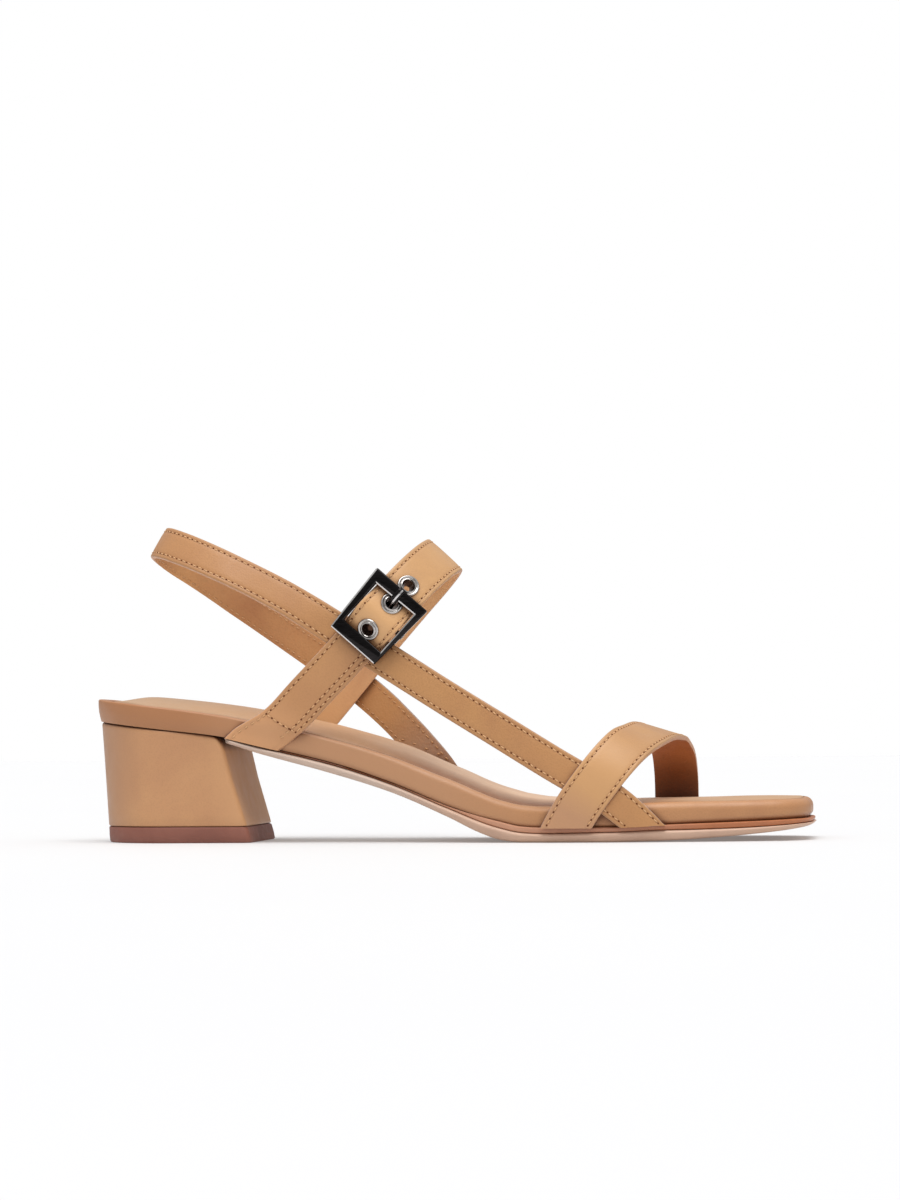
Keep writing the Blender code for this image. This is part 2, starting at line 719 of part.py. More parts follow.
def build_upper(instep):
    """All straps as one wall, joined where they cross, with the buckle's loop and eyelet holes."""
    sling = table_path(SLING_COLUMNS, SLING_PATH, leaning, SLING_WIDTH)
    toe = table_path(TOE_COLUMNS, TOE_PATH, pitched, TOE_STRAP_WIDTH)
    quarter = plane_path(QUARTER_PATH, QUARTER_WIDTH)
    upper = strap(sling, SLING_SEGMENTS, True, True, "upper")
    combine(upper, strap(quarter, QUARTER_SEGMENTS, True, False, "quarter"), "UNION")
    combine(upper, strap(instep, INSTEP_SEGMENTS, False, True, "instep"), "UNION")
    combine(upper, strap(toe, TOE_STRAP_SEGMENTS, True, True, "toe_strap"), "UNION")
    combine(upper, across_bar(LOOP_RADIUS, LOOP_WIDTH, "loop", "tan_leather"), "UNION")
    combine(upper, across_bar(BAR_RADIUS + GAP, 2.0 * LOOP_WIDTH, "loop_bore", "tan_leather"), "DIFFERENCE")
    slot_size = (HUB_WIDTH + 2.0 * GAP, 2.0 * (LOOP_RADIUS + GAP), 4.0 * LOOP_RADIUS)
    slot = box(slot_size, buckle_matrix(0.0, 0.0, BAR_OUT - SLOT_BACK), "slot", "tan_leather")
    combine(upper, slot, "DIFFERENCE")
    for slide in EYELET_SLIDES:
        spot, outward = eyelet_seat(instep, slide)
        hole = rod(EYELET_BARREL_RADIUS + GAP, 2.0 * STRAP_THICKNESS, eyelet_matrix(spot, outward),
                   "hole", "tan_leather")
        combine(upper, hole, "DIFFERENCE")
    upper.data.set_sharp_from_angle(angle=SHARP_ANGLE)
    return upper


# Heel


def heel_outline(share, trim):
    """Outline of the heel at a share of the way from top to floor; trim rounds its front top edge."""
    back = HEEL_BACK[0] + (HEEL_BACK[1] - HEEL_BACK[0]) * share
    half = HEEL_HALF_WIDTH[0] + (HEEL_HALF_WIDTH[1] - HEEL_HALF_WIDTH[0]) * share
    front = breast_along(sole("feather", BREAST_TOP_ALONG) * (1.0 - share)) - trim
    outer = []
    for i in range(HEEL_BACK_POINTS + 1):
        rest = math.cos(0.5 * math.pi * i / HEEL_BACK_POINTS)
        outer.append((back + HEEL_ROUND * (1.0 - rest),
                      -half * (1.0 - rest ** HEEL_ROUND_POWER) ** (1.0 / HEEL_ROUND_POWER)))
    for i in range(HEEL_CORNER_POINTS + 1):
        turn = 0.5 * math.pi * i / HEEL_CORNER_POINTS
        outer.append((front - BREAST_CORNER * (1.0 - math.sin(turn)),
                      -half + BREAST_CORNER * (1.0 - math.cos(turn))))
    return outer + [(x, -y) for x, y in outer[:0:-1]]


def heel_share(height):
    return 1.0 - height / sole("feather", HEEL_MIDDLE_ALONG)


def build_heel():
    """Block between the lift and the footbed's slanted underside."""
    low = LIFT_THICKNESS + GAP
    rings = [[place(along, side, low) for along, side in heel_outline(heel_share(low), 0.0)]]
    for depth, trim in reversed(HEEL_RINGS):
        share = heel_share(sole("feather", HEEL_MIDDLE_ALONG) - depth)
        rings.append([place(along, side, feather_height(along, side) - HEEL_SEAT_GAP - depth)
                      for along, side in heel_outline(share, trim)])
    return loft(rings, "heel_block", "tan_leather")


def build_top_lift():
    rings = [[place(along, side, height) for along, side in heel_outline(heel_share(height), 0.0)]
             for height in (0.0, LIFT_THICKNESS)]
    return loft(rings, "top_lift", "lift_rubber")


# Sole layers


def sock_top(along, side):
    """Crowned top of the padded sock."""
    offset = 2.0 * across(along, side) - 1.0
    return rim_height(along, side) + sole("crown", along) * max(0.0, 1.0 - offset * offset)


def lifted(base, amount):
    """Height function a fixed amount above another one."""
    return lambda along, side: base(along, side) + amount


def build_sole():
    front = SHOE_LENGTH - OUTSOLE_REACH
    breast = breast_along(sole("feather", BREAST_TOP_ALONG))
    outsole_top = lifted(split_height, -GAP)
    outsole_edge = ((EDGE_INSET, bottom_height),
                    (-EDGE_INSET, lifted(bottom_height, EDGE_ROUND)),
                    (-OUTSOLE_REACH, lifted(bottom_height, OUTSOLE_BULGE_HEIGHT)),
                    (-OUTSOLE_TOP_REACH, outsole_top))
    sole_layer("outsole", breast, front, outsole_edge, bottom_height, outsole_top, "sole_beige")
    welt_top = lifted(feather_height, -GAP)
    welt_edge = ((-WELT_REACH, split_height), (-WELT_REACH, welt_top))
    sole_layer("welt", breast, front, welt_edge, split_height, welt_top, "welt_brown")
    tray = lifted(rim_height, -SOCK_DEPTH)
    wall = ((EDGE_INSET, feather_height),
            (0.0, lifted(feather_height, EDGE_ROUND)),
            (0.0, lifted(rim_height, -RIM_ROUND)),
            (0.3 * RIM_ROUND, lifted(rim_height, -0.3 * RIM_ROUND)),
            (RIM_ROUND, rim_height),
            (RIM_WIDTH, rim_height),
            (RIM_WIDTH + RIM_DRAFT, tray))
    sole_layer("footbed", 0.0, front, wall, feather_height, tray, "tan_leather")
    sock_inset = RIM_WIDTH + RIM_DRAFT + GAP
    sock_bottom = lifted(tray, GAP)
    sock_edge = ((sock_inset, sock_bottom),
                 (sock_inset, lifted(rim_height, -SOCK_EDGE_DROP)),
                 (sock_inset + SOCK_EDGE_ROUND, sock_top))
    sole_layer("insole", 0.0, front, sock_edge, sock_bottom, sock_top, "sock_leather")


def build():
    for item in list(bpy.data.objects):
        bpy.data.objects.remove(item)
    build_sole()
    build_heel()
    build_top_lift()
    instep = plane_path(INSTEP_PATH, INSTEP_WIDTH)
    build_upper(instep)
    build_buckle_frame()
    build_prong()
    for number, slide in enumerate(EYELET_SLIDES, 1):
        build_eyelet(f"eyelet_{number}", *eyelet_seat(instep, slide))


build()
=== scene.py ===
"""Looks of the low heel sandal: leather straps, wrapped footbed and heel, sole edge and buckle.

Metres, +Z up, +X towards the toe, +Y towards the inner side of the foot.
In the tables, along counts from the back of the heel, side from the heel's middle plane
(outer side negative) and height from the floor.
"""
import bisect
import math

import bmesh
import bpy
from mathutils import Matrix, Vector, noise


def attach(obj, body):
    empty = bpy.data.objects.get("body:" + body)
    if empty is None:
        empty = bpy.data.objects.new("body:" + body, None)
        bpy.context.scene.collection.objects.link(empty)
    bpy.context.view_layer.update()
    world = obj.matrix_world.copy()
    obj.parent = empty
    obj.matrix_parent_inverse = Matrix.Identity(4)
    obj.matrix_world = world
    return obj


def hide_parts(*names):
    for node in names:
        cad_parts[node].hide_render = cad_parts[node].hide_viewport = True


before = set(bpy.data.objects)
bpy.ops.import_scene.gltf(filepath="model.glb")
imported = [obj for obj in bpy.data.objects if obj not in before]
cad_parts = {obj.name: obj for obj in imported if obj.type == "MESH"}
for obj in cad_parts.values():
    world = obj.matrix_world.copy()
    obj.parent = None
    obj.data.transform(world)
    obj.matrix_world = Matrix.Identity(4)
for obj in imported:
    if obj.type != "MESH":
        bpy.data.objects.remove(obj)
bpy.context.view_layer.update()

# Sizes, nearly all of them shared with the solids
SHOE_LENGTH = 0.2475
GAP = 0.0003
LAYER_GAP = 0.0001
STRAP_THICKNESS = 0.0017
TOE_STRAP_WIDTH = 0.0154
SLING_WIDTH = 0.0116
QUARTER_WIDTH = 0.0148
INSTEP_WIDTH = 0.0160
OUTSOLE_REACH = 0.0010
SOLE_FRONT = SHOE_LENGTH - OUTSOLE_REACH
HEEL_ROUND = 0.026
HEEL_ROUND_POWER = 2.1
TOE_CORNER_LENGTH = 0.013
TOE_CORNER_WIDTH = 0.016
TOE_CORNER_POWER = 2.2
RIM_WIDTH = 0.0032
SOCK_DEPTH = 0.0020
SOCK_INSET = 0.0035
SOCK_PILLOW = 0.7
TOE_GROOVE_CLOSING = 0.30
SOCK_BACK_RISE = 0.018
SOCK_TOE_RISE = 0.012
SOCK_RIPPLE = 0.00018
LIFT_THICKNESS = 0.0055
HEEL_BACK = (0.0012, 0.0038)
HEEL_HALF_WIDTH = (0.0282, 0.0258)
BREAST_AT_FLOOR = 0.0576
BREAST_SLOPE = 0.27
BREAST_CORNER = 0.0020
BREAST_SKEW = 0.0010
HEEL_MIDDLE_ALONG = 0.026
BREAST_TOP_ALONG = 0.048
HEEL_SEAT_GAP = 0.00015

# Sole sections: half widths, height of the wall's foot on the outer side, wall height, how much
# higher the inner side lies, crown of the padded sock, and underside of the outsole
SOLE_COLUMNS = ("along", "lateral", "medial", "feather", "wall", "rise", "crown", "bottom")
SOLE_SECTIONS = (
    (0.0000, 0.0290, 0.0290, 0.0419, 0.0076, 0.0000, 0.0012, 0.0380),
    (0.0100, 0.0290, 0.0290, 0.0407, 0.0076, 0.0000, 0.0026, 0.0373),
    (0.0260, 0.0290, 0.0290, 0.0388, 0.0076, 0.0000, 0.0031, 0.0360),
    (0.0460, 0.0295, 0.0290, 0.0364, 0.0072, 0.0004, 0.0033, 0.0343),
    (0.0600, 0.0285, 0.0270, 0.0332, 0.0075, 0.0014, 0.0031, 0.0302),
    (0.0850, 0.0285, 0.0240, 0.0272, 0.0077, 0.0026, 0.0027, 0.0232),
    (0.1050, 0.0305, 0.0228, 0.0206, 0.0084, 0.0026, 0.0027, 0.0169),
    (0.1250, 0.0338, 0.0255, 0.0126, 0.0088, 0.0016, 0.0025, 0.0084),
    (0.1360, 0.0359, 0.0286, 0.0090, 0.0078, 0.0009, 0.0026, 0.0031),
    (0.1430, 0.0370, 0.0305, 0.0072, 0.0070, 0.0005, 0.0030, 0.0008),
    (0.1500, 0.0380, 0.0325, 0.0056, 0.0070, 0.0002, 0.0029, 0.0000),
    (0.1570, 0.0387, 0.0345, 0.0052, 0.0069, 0.0000, 0.0025, 0.0000),
    (0.1780, 0.0393, 0.0392, 0.0052, 0.0070, 0.0000, 0.0016, 0.0000),
    (0.2000, 0.0372, 0.0402, 0.0060, 0.0064, 0.0000, 0.0016, 0.0005),
    (0.2220, 0.0337, 0.0380, 0.0067, 0.0058, 0.0000, 0.0019, 0.0019),
    (0.2380, 0.0300, 0.0345, 0.0073, 0.0054, 0.0000, 0.0019, 0.0035),
    (0.2475, 0.0275, 0.0320, 0.0077, 0.0052, 0.0000, 0.0019, 0.0049),
)

# How the leather wall changes from heel to toe: radius of its rim, how far its foot tucks in,
# how high that tuck reaches, how much the rim puffs up over the solid one, and how far the
# sock's rolled edge stands over the rim
WALL_COLUMNS = ("along", "rim_round", "tuck", "tuck_height", "puff", "sock_edge")
WALL_SECTIONS = (
    (0.0000, 0.0007, 0.0010, 0.0060, 0.0000, -0.0004),
    (0.0300, 0.0008, 0.0008, 0.0044, 0.0000, -0.0002),
    (0.0500, 0.0009, 0.0006, 0.0030, 0.0000, 0.0003),
    (0.0750, 0.0010, 0.0005, 0.0022, 0.0000, 0.0004),
    (0.1000, 0.0016, 0.0004, 0.0016, 0.0000, 0.0003),
    (0.1200, 0.0024, 0.0004, 0.0014, 0.0000, 0.0002),
    (0.1700, 0.0026, 0.0006, 0.0014, 0.0000, 0.0002),
    (0.2000, 0.0029, 0.0008, 0.0016, 0.0010, 0.0009),
    (0.2475, 0.0031, 0.0012, 0.0020, 0.0013, 0.0014),
)

# How much of the sole edge's height is welt, and how far the welt stands out of the sole line
WELT_COLUMNS = ("along", "share", "reach")
WELT_SECTIONS = (
    (0.0450, 0.24, -0.0005),
    (0.1000, 0.24, -0.0005),
    (0.1250, 0.26, -0.0004),
    (0.1400, 0.34, 0.0002),
    (0.1600, 0.40, 0.0006),
    (0.1720, 0.36, 0.0006),
    (0.1930, 0.32, 0.0006),
    (0.2100, 0.38, 0.0006),
    (0.2280, 0.45, 0.0006),
    (0.2475, 0.50, 0.0007),
)

# Side of the footbed's rim towards the sock: how far past the rim's width, and height over its top
RIM_INNER_SIDE = ((-0.0004, 0.0), (-0.0001, -0.0002), (0.0001, -0.0007))
TRAY_CORNER = 0.0002
# Wall of the footbed: inset of its underside, roll of its foot, and shares of the tuck's height
FOOTBED_UNDER_INSET = 0.0040
FOOTBED_FOOT_ROLL = 0.0007
TUCK_SHARES = (0.0, 0.12, 0.3, 0.55, 0.8, 1.0)
RIM_STEPS = 7

# Side of the sock: inset of its foot, depth of its side under the rim, then its rolled edge as
# extra inset and height over its top
SOCK_FOOT_INSET = 0.0004
SOCK_SIDE_DEPTH = 0.0014
SOCK_ROLL = ((-0.0001, -0.0007), (0.0002, -0.00025), (0.0007, 0.0), (0.0020, 0.0))

# Side of the outsole from its underside to its upper face: inset and share of its height
OUTSOLE_SIDE = (
    (0.0030, 0.0), (0.0016, 0.03), (0.0006, 0.12), (-0.0001, 0.26), (-0.0006, 0.44),
    (-0.0010, 0.64), (-0.0010, 0.78), (-0.0007, 0.90), (-0.0002, 0.97), (0.0004, 1.0),
)

# Side of the welt: extra inset and height over the outsole, then extra inset and depth under the wall
WELT_LOWER_SIDE = ((0.0006, 0.0), (0.0001, 0.0002), (0.0, 0.0004))
WELT_UPPER_SIDE = ((0.0, 0.0005), (0.0003, 0.00025), (0.0008, LAYER_GAP))

# Heel: height over the lift and inset of its foot, then depth under the wall, trim of the front
# edge and inset of its top; lift: height and inset
HEEL_FOOT_RINGS = ((0.0, 0.0005), (0.0002, 0.00015))
HEEL_FOOT_TOP = 0.0006
HEEL_WAIST_DEPTH = 0.014
HEEL_TOP_RINGS = (
    (0.0100, 0.0, 0.0),
    (0.0060, 0.0, 0.0),
    (0.0035, 0.0001, 0.0),
    (0.0020, 0.0003, 0.0),
    (0.0011, 0.0007, 0.0),
    (0.0005, 0.0011, 0.00015),
    (0.0001, 0.0016, 0.0005),
)
LIFT_RINGS = (
    (0.0, 0.0006), (0.0001, 0.0003), (0.0005, 0.0), (0.0026, -0.0001), (0.0050, 0.0), (0.0053, 0.0001),
    (LIFT_THICKNESS, 0.0004),
)

# Sling strap, from under the outer sole edge round the heel to the inner arch.
# lean is how far its upper edge tips in towards the leg, in degrees
SLING_COLUMNS = ("along", "side", "height", "lean")
SLING_PATH = (
    (0.2000, -0.0384, -0.0006, 0),
    (0.1916, -0.0397, 0.0059, 0),
    (0.1780, -0.0404, 0.0162, 3),
    (0.1600, -0.0392, 0.0271, 6),
    (0.1430, -0.0370, 0.0376, 4),
    (0.1260, -0.0342, 0.0480, 3),
    (0.1020, -0.0309, 0.0631, 4),
    (0.0880, -0.0302, 0.0718, 6),
    (0.0700, -0.0290, 0.0829, 20),
    (0.0460, -0.0254, 0.0950, 28),
    (0.0325, -0.0180, 0.1006, 30),
    (0.0246, -0.0095, 0.1031, 30),
    (0.0217, 0.0000, 0.1030, 30),
    (0.0250, 0.0100, 0.0990, 30),
    (0.0330, 0.0182, 0.0930, 30),
    (0.0460, 0.0248, 0.0833, 26),
    (0.0666, 0.0292, 0.0687, 14),
    (0.0835, 0.0302, 0.0562, 5),
    (0.0970, 0.0290, 0.0448, 2),
    (0.1074, 0.0264, 0.0342, 0),
    (0.1142, 0.0254, 0.0262, 0),
    (0.1210, 0.0268, 0.0162, 0),
)

# Toe strap, from under the outer sole edge over the ball to the inner edge.
# pitch is how steeply its width falls towards the toe, in degrees
TOE_COLUMNS = ("along", "side", "height", "pitch")
TOE_PATH = (
    (0.1630, -0.0408, 0.0002, 30),
    (0.1658, -0.0409, 0.0056, 30),
    (0.1693, -0.0413, 0.0116, 31),
    (0.1740, -0.0415, 0.0182, 32),
    (0.1792, -0.0402, 0.0250, 31),
    (0.1850, -0.0335, 0.0318, 28),
    (0.1908, -0.0185, 0.0360, 22),
    (0.1943, 0.0020, 0.0370, 18),
    (0.1964, 0.0200, 0.0345, 12),
    (0.1977, 0.0325, 0.0282, 6),
    (0.1980, 0.0396, 0.0196, 2),
    (0.1980, 0.0413, 0.0115, 0),
    (0.1980, 0.0412, 0.0056, 0),
    (0.1980, 0.0411, 0.0002, 0),
)

# Quarter and instep straps lie in one slanted plane through the buckle.
# slide runs up that plane from the buckle's middle, side is across the foot, and drift is
# out of the plane, towards toe and floor
BUCKLE_ALONG = 0.1023
BUCKLE_HEIGHT = 0.0764
STRAP_PLANE_ANGLE = math.radians(47.1)
PLANE_COLUMNS = ("slide", "side", "drift")
QUARTER_PATH = (
    (-0.0760, -0.0305, -0.0036),
    (-0.0620, -0.0305, -0.0028),
    (-0.0493, -0.0303, -0.0006),
    (-0.0368, -0.0305, -0.0005),
    (-0.0240, -0.0312, -0.0002),
    (-0.0146, -0.03165, -0.0001),
    (-0.0060, -0.03165, 0.0000),
    (0.0007, -0.03165, 0.0000),
)
INSTEP_PATH = (
    (-0.0123, -0.0330, 0.0000),
    (-0.0085, -0.0330, 0.0000),
    (-0.0048, -0.0345, 0.0000),
    (0.0000, -0.0363, 0.0000),
    (0.0048, -0.0345, 0.0000),
    (0.0088, -0.0328, -0.0001),
    (0.0130, -0.0311, -0.0002),
    (0.0178, -0.0275, -0.0004),
    (0.0238, -0.0192, -0.0007),
    (0.0275, -0.0080, -0.0010),
    (0.0282, 0.0020, -0.0013),
    (0.0255, 0.0130, -0.0018),
    (0.0185, 0.0215, -0.0022),
    (0.0080, 0.0260, -0.0024),
    (-0.0080, 0.0273, -0.0020),
    (-0.0276, 0.0275, -0.0008),
    (-0.0450, 0.0278, 0.0000),
    (-0.0580, 0.0285, 0.0000),
    (-0.0720, 0.0290, 0.0000),
)

# Buckle, in the slanted plane: across the strap, along it, and out from the foot.
# Corners of the frame and of its opening as across and slide, by side and by lower or upper end
FRAME_CORNERS = {(-1, -1): (-0.0101, -0.0136), (1, -1): (0.0098, -0.0131),
                 (1, 1): (0.0110, 0.0124), (-1, 1): (-0.0117, 0.0118)}
OPENING_CORNERS = {(-1, -1): (-0.0081, -0.0088), (1, -1): (0.0085, -0.0085),
                   (1, 1): (0.0083, 0.0085), (-1, 1): (-0.0082, 0.0076)}
BAR_HALF_LENGTH = 0.0096
BUCKLE_BACK = 0.0342
BUCKLE_THICKNESS = 0.0020
BUCKLE_EDGE = 0.00055
DRAFT_INSET = 0.2
# Bevel faces turned this far to the frame's left and lower side, and lifted this far out, take the bright
# nickel as a painted highlight
HIGHLIGHT_EDGE_TURN = -0.2
HIGHLIGHT_EDGE_LIFT = 0.28
BAR_RADIUS = 0.0009
BAR_OUT = 0.0329
LUG_SIZE = (0.0018, 0.0024, 0.0022)
LUG_LIFT = 0.0004
LUG_EDGE = 0.0004
LOOP_RADIUS = 0.0022
LOOP_WIDTH = 0.0140
LOOP_EDGE = 0.0003
HUB_RADIUS = 0.0019
HUB_WIDTH = 0.0030
HUB_PLAY = 0.0001
PRONG_WIDTH = 0.0028
PRONG_THICKNESS = 0.0014
PRONG_TAPER = 0.06
PRONG_TIP_START = 0.93
PRONG_TIP_LENGTH = 0.07
PRONG_SQUARENESS = 0.7
# Side of the prong that takes the bright nickel as a painted highlight line
PRONG_HIGHLIGHT_SIDES = (4,)
PRONG_COLUMNS = ("slide", "out")
PRONG_PATH = (
    (0.0012, 0.0329),
    (0.0034, 0.0330),
    (0.0050, 0.0338),
    (0.0064, 0.0354),
    (0.0078, 0.0367),
    (0.0096, 0.0372),
    (0.0110, 0.0372),
    (0.0122, 0.0368),
)
EYELET_SLIDES = (-0.0053, 0.0058, 0.0136)
EYELET_ACROSS = 0.0002
EYELET_BARREL_RADIUS = 0.0026
EYELET_HOLE_RADIUS = 0.00206
PUNCH_RADIUS = EYELET_BARREL_RADIUS - 0.0001
PUNCH_LENGTH = 4.0 * STRAP_THICKNESS
# Turned section of an eyelet: distance from its axis and height over the strap's outer face
EYELET_SECTION = (
    (0.00100, -0.00260),
    (0.00140, -0.00180),
    (0.00192, -0.00060),
    (0.00202, 0.00010),
    (0.00214, 0.00046),
    (0.00232, 0.00066),
    (0.00252, 0.00064),
    (0.00268, 0.00044),
    (0.00284, 0.00030),
    (0.00302, 0.00036),
    (0.00322, 0.00054),
    (0.00344, 0.00060),
    (0.00366, 0.00046),
    (0.00382, 0.00020),
    (0.00386, 0.00004),
    (0.00378, -0.00006),
    (0.00262, -0.00010),
    (0.00260, -0.00260),
)

# Strap section: steps in from an edge on the outer face and on the lining
STRAP_OUTER_STEPS = (
    0.0, 0.00012, 0.0003, 0.00055, 0.0009, 0.0013, 0.0016, 0.0019, 0.0024, 0.0034, 0.0048,
)
STRAP_INNER_STEPS = (0.00010, 0.0004, 0.0012, 0.0036)
OUTER_ROUND = 0.0006
INNER_ROUND = 0.0003
STITCH_MARGIN = 0.0016
STITCH_GROOVE = 0.00014
GROOVE_WIDTH = 0.0004
STRAP_DOME = 0.00018
STRAP_STEP = 0.0013
FOOT_PRESS = 0.0013
FOOT_FRONT_PRESS = 0.0010
FOOT_PRESS_TOP = 1.25
FOOT_DROP = 0.0004
# How the straps' feet draw in or flare out: strap, which edge, change as a share of the half width,
# and the lengths where that is full and where it starts
FOOT_SHAPE_COLUMNS = ("strap", "edge", "change", "full", "start")
FOOT_SHAPES = (
    ("sling", 1, -0.30, 0.0060, 0.0240),
    ("quarter", -1, 0.17, 0.0135, 0.0245),
    ("quarter", 1, -0.11, 0.0270, 0.0370),
)
EDGE_BAND = 0.0002
# Materials of a strap by zone
FACE_ZONE, LINING_ZONE, GREY_ZONE, PALE_ZONE = range(4)

# Stitching: thread of each stitch, its holes and the pitch between them
STITCH_PITCH = 0.0024
STITCH_SIZE = (0.00160, 0.00056, 0.00046)
STITCH_HOLE = (0.00070, 0.00064, 0.00026)
STITCH_SINK = 0.00006
STITCH_WANDER = 0.00012
STITCH_TILT = 0.16
STITCH_END_TRIM = 0.0012
# Row across the quarter strap's foot: slide at the strap's middle, and rise per offset
QUARTER_ROW_SLIDE = -0.0496
QUARTER_ROW_RISE = 0.286
# Plain stitches below that row: how far in from the strap's edge, which edge, and how many
FOOT_STITCH_COLUMNS = ("margin", "edge", "count")
FOOT_STITCHES = (
    (0.0016, -1, 6),
    (0.0034, 1, 2),
)
# Height over the rim of the row across the sling's inner end
SLING_ROW_HEIGHT = 0.0022
# Rows of stitches along the straps: strap, how far in from its edge, which edge, and which face
STITCH_COLUMNS = ("strap", "margin", "edge", "face")
STITCH_ROWS = (
    ("sling", 0.0016, 1, 1),
    ("sling", 0.0016, -1, 1),
    ("sling", 0.0016, 1, -1),
    ("sling", 0.0016, -1, -1),
    ("quarter", 0.0014, 1, 1),
    ("quarter", 0.0034, 1, 1),
    ("quarter", 0.0016, -1, 1),
    ("instep", 0.0016, 1, 1),
    ("instep", 0.0016, -1, 1),
    ("instep", 0.0016, -1, -1),
    ("toe", 0.0016, 1, 1),
    ("toe", 0.0016, -1, 1),
)

# Creases, listed one by one: strap, place along it and across it, slant, depth, half width and reach
# across
CREASE_COLUMNS = ("strap", "at", "across", "slant", "depth", "half", "reach")
CREASES = (
    ("sling", 0.150, -0.001, 0.35, -0.00016, 0.0010, 0.005),
    ("sling", 0.156, 0.001, 0.25, 0.00012, 0.0014, 0.005),
    ("sling", 0.163, 0.000, 0.40, -0.00014, 0.0011, 0.004),
    ("sling", 0.335, 0.002, -0.60, -0.00022, 0.0010, 0.004),
    ("sling", 0.343, 0.000, -0.50, 0.00016, 0.0016, 0.005),
    ("sling", 0.352, -0.002, -0.30, -0.00022, 0.0012, 0.004),
    ("instep", 0.040, 0.003, 0.20, -0.00012, 0.0012, 0.005),
    ("instep", 0.104, 0.000, -0.30, -0.00020, 0.0010, 0.006),
    ("instep", 0.109, 0.002, -0.20, 0.00014, 0.0014, 0.006),
    ("quarter", 0.030, -0.002, 0.10, -0.00010, 0.0020, 0.005),
)

# How far a crease is followed, in half widths
CREASE_REACH = 3.0
# Unevenness: height, and scales of the noise along and across
FACE_RIPPLE = 0.00005
FACE_RIPPLE_SCALES = (90.0, 160.0)
SOCK_RIPPLE_SCALES = (55.0, 60.0)
STITCH_SCALES = (700.0, 500.0)
# Layers of the noise, so that pieces don't share their unevenness
SOCK_LAYER, FACE_LAYER = 1.0, 3.0

# Mesh fineness
COLUMN_COUNT = 20
HEEL_ROW_COUNT = 18
MIDDLE_ROW_COUNT = 84
TOE_ROW_COUNT = 14
SEARCH_STEPS = 32
LENGTH_SAMPLES = 24
SAME_PLACE = 1e-6
SHARP_ANGLE = math.radians(50.0)
END_ROWS = 2.5
BEAD_SEGMENTS = (6, 4)
BAR_SIDES = 24
LOOP_STEPS = 24
HUB_STEPS = 28
EYELET_STEPS = 40
PUNCH_SIDES = 32
PRONG_STEPS, PRONG_SIDES = 40, 20
HEEL_BACK_POINTS = 24
HEEL_SIDE_POINTS = 6
HEEL_CORNER_POINTS = 8
BREAST_POINTS = 12
HEEL_SIDE_STEPS = 5


# Tables and heights of the sole


def rows_as_dicts(columns, rows):
    return [dict(zip(columns, row)) for row in rows]


def clamped(share):
    return min(max(share, 0.0), 1.0)


def eased(share):
    """Share from 0 to 1 with a soft start and end."""
    share = clamped(share)
    return share * share * (3.0 - 2.0 * share)


def span_index(values, value):
    """Index of the span of rising values in which a value lies."""
    return min(max(bisect.bisect_right(values, value) - 1, 0), len(values) - 2)


def last_holding(test, low, high):
    """Last place from low to high, halved again and again, at which a test still holds."""
    for _ in range(SEARCH_STEPS):
        middle = 0.5 * (low + high)
        if test(middle):
            low = middle
        else:
            high = middle
    return low


def bend(share, power):
    """Height left on a rounded corner at a share of the way along it."""
    return (1.0 - share ** power) ** (1.0 / power)


def uneven(scales, first, second, layer):
    """Noise over two lengths."""
    return noise.noise(Vector((first * scales[0], second * scales[1], layer)))


class Curve:
    """Smooth curve through a table's column that never overshoots its rows."""

    def __init__(self, columns, rows, wanted):
        self.xs = [row[0] for row in rows]
        self.ys = [row[columns.index(wanted)] for row in rows]
        last = len(rows) - 1
        steps = [(self.ys[k + 1] - self.ys[k]) / (self.xs[k + 1] - self.xs[k]) for k in range(last)]
        self.slopes = [steps[0]]
        for before, after in zip(steps, steps[1:]):
            turns = before * after <= 0.0
            self.slopes.append(0.0 if turns else 2.0 * before * after / (before + after))
        self.slopes.append(steps[-1])

    def at(self, x):
        xs, ys = self.xs, self.ys
        x = min(max(x, xs[0]), xs[-1])
        i = span_index(xs, x)
        width = xs[i + 1] - xs[i]
        t = (x - xs[i]) / width
        rise = eased(t)
        return (ys[i] * (1.0 - rise) + ys[i + 1] * rise
                + width * t * (1.0 - t) * (self.slopes[i] * (1.0 - t) - self.slopes[i + 1] * t))


def table_curves(columns, rows):
    return {name: Curve(columns, rows, name) for name in columns[1:]}


SOLE_CURVES = table_curves(SOLE_COLUMNS, SOLE_SECTIONS)
WALL_CURVES = table_curves(WALL_COLUMNS, WALL_SECTIONS)
WELT_CURVES = table_curves(WELT_COLUMNS, WELT_SECTIONS)


def sole(column, along):
    return SOLE_CURVES[column].at(along)


def wall(column, along):
    return WALL_CURVES[column].at(along)


def place(along, side, height):
    """World position, with the origin under the middle of the shoe."""
    return Vector((along - SHOE_LENGTH / 2.0, side, height))


def along_of(spot):
    return spot.x + SHOE_LENGTH / 2.0


def across(along, side):
    lateral, medial = sole("lateral", along), sole("medial", along)
    return clamped((side + lateral) / (lateral + medial))


def inner_rise(along, side):
    return sole("rise", along) * across(along, side)


def feather_height(along, side):
    """Foot of the footbed's wall."""
    return sole("feather", along) + inner_rise(along, side)


def rim_height(along, side):
    return feather_height(along, side) + sole("wall", along)


def bottom_height(along, side):
    return sole("bottom", along) + inner_rise(along, side)


def split_height(along, side):
    """Line between outsole and welt."""
    low = bottom_height(along, side)
    return low + (1.0 - WELT_CURVES["share"].at(along)) * (feather_height(along, side) - low)


def breast_along(height):
    """Front face of the heel block at a height."""
    return BREAST_AT_FLOOR - BREAST_SLOPE * height


def lifted(base, amount):
    """Height function a fixed amount above another one."""
    return lambda along, side: base(along, side) + amount


# Meshes laid on grids


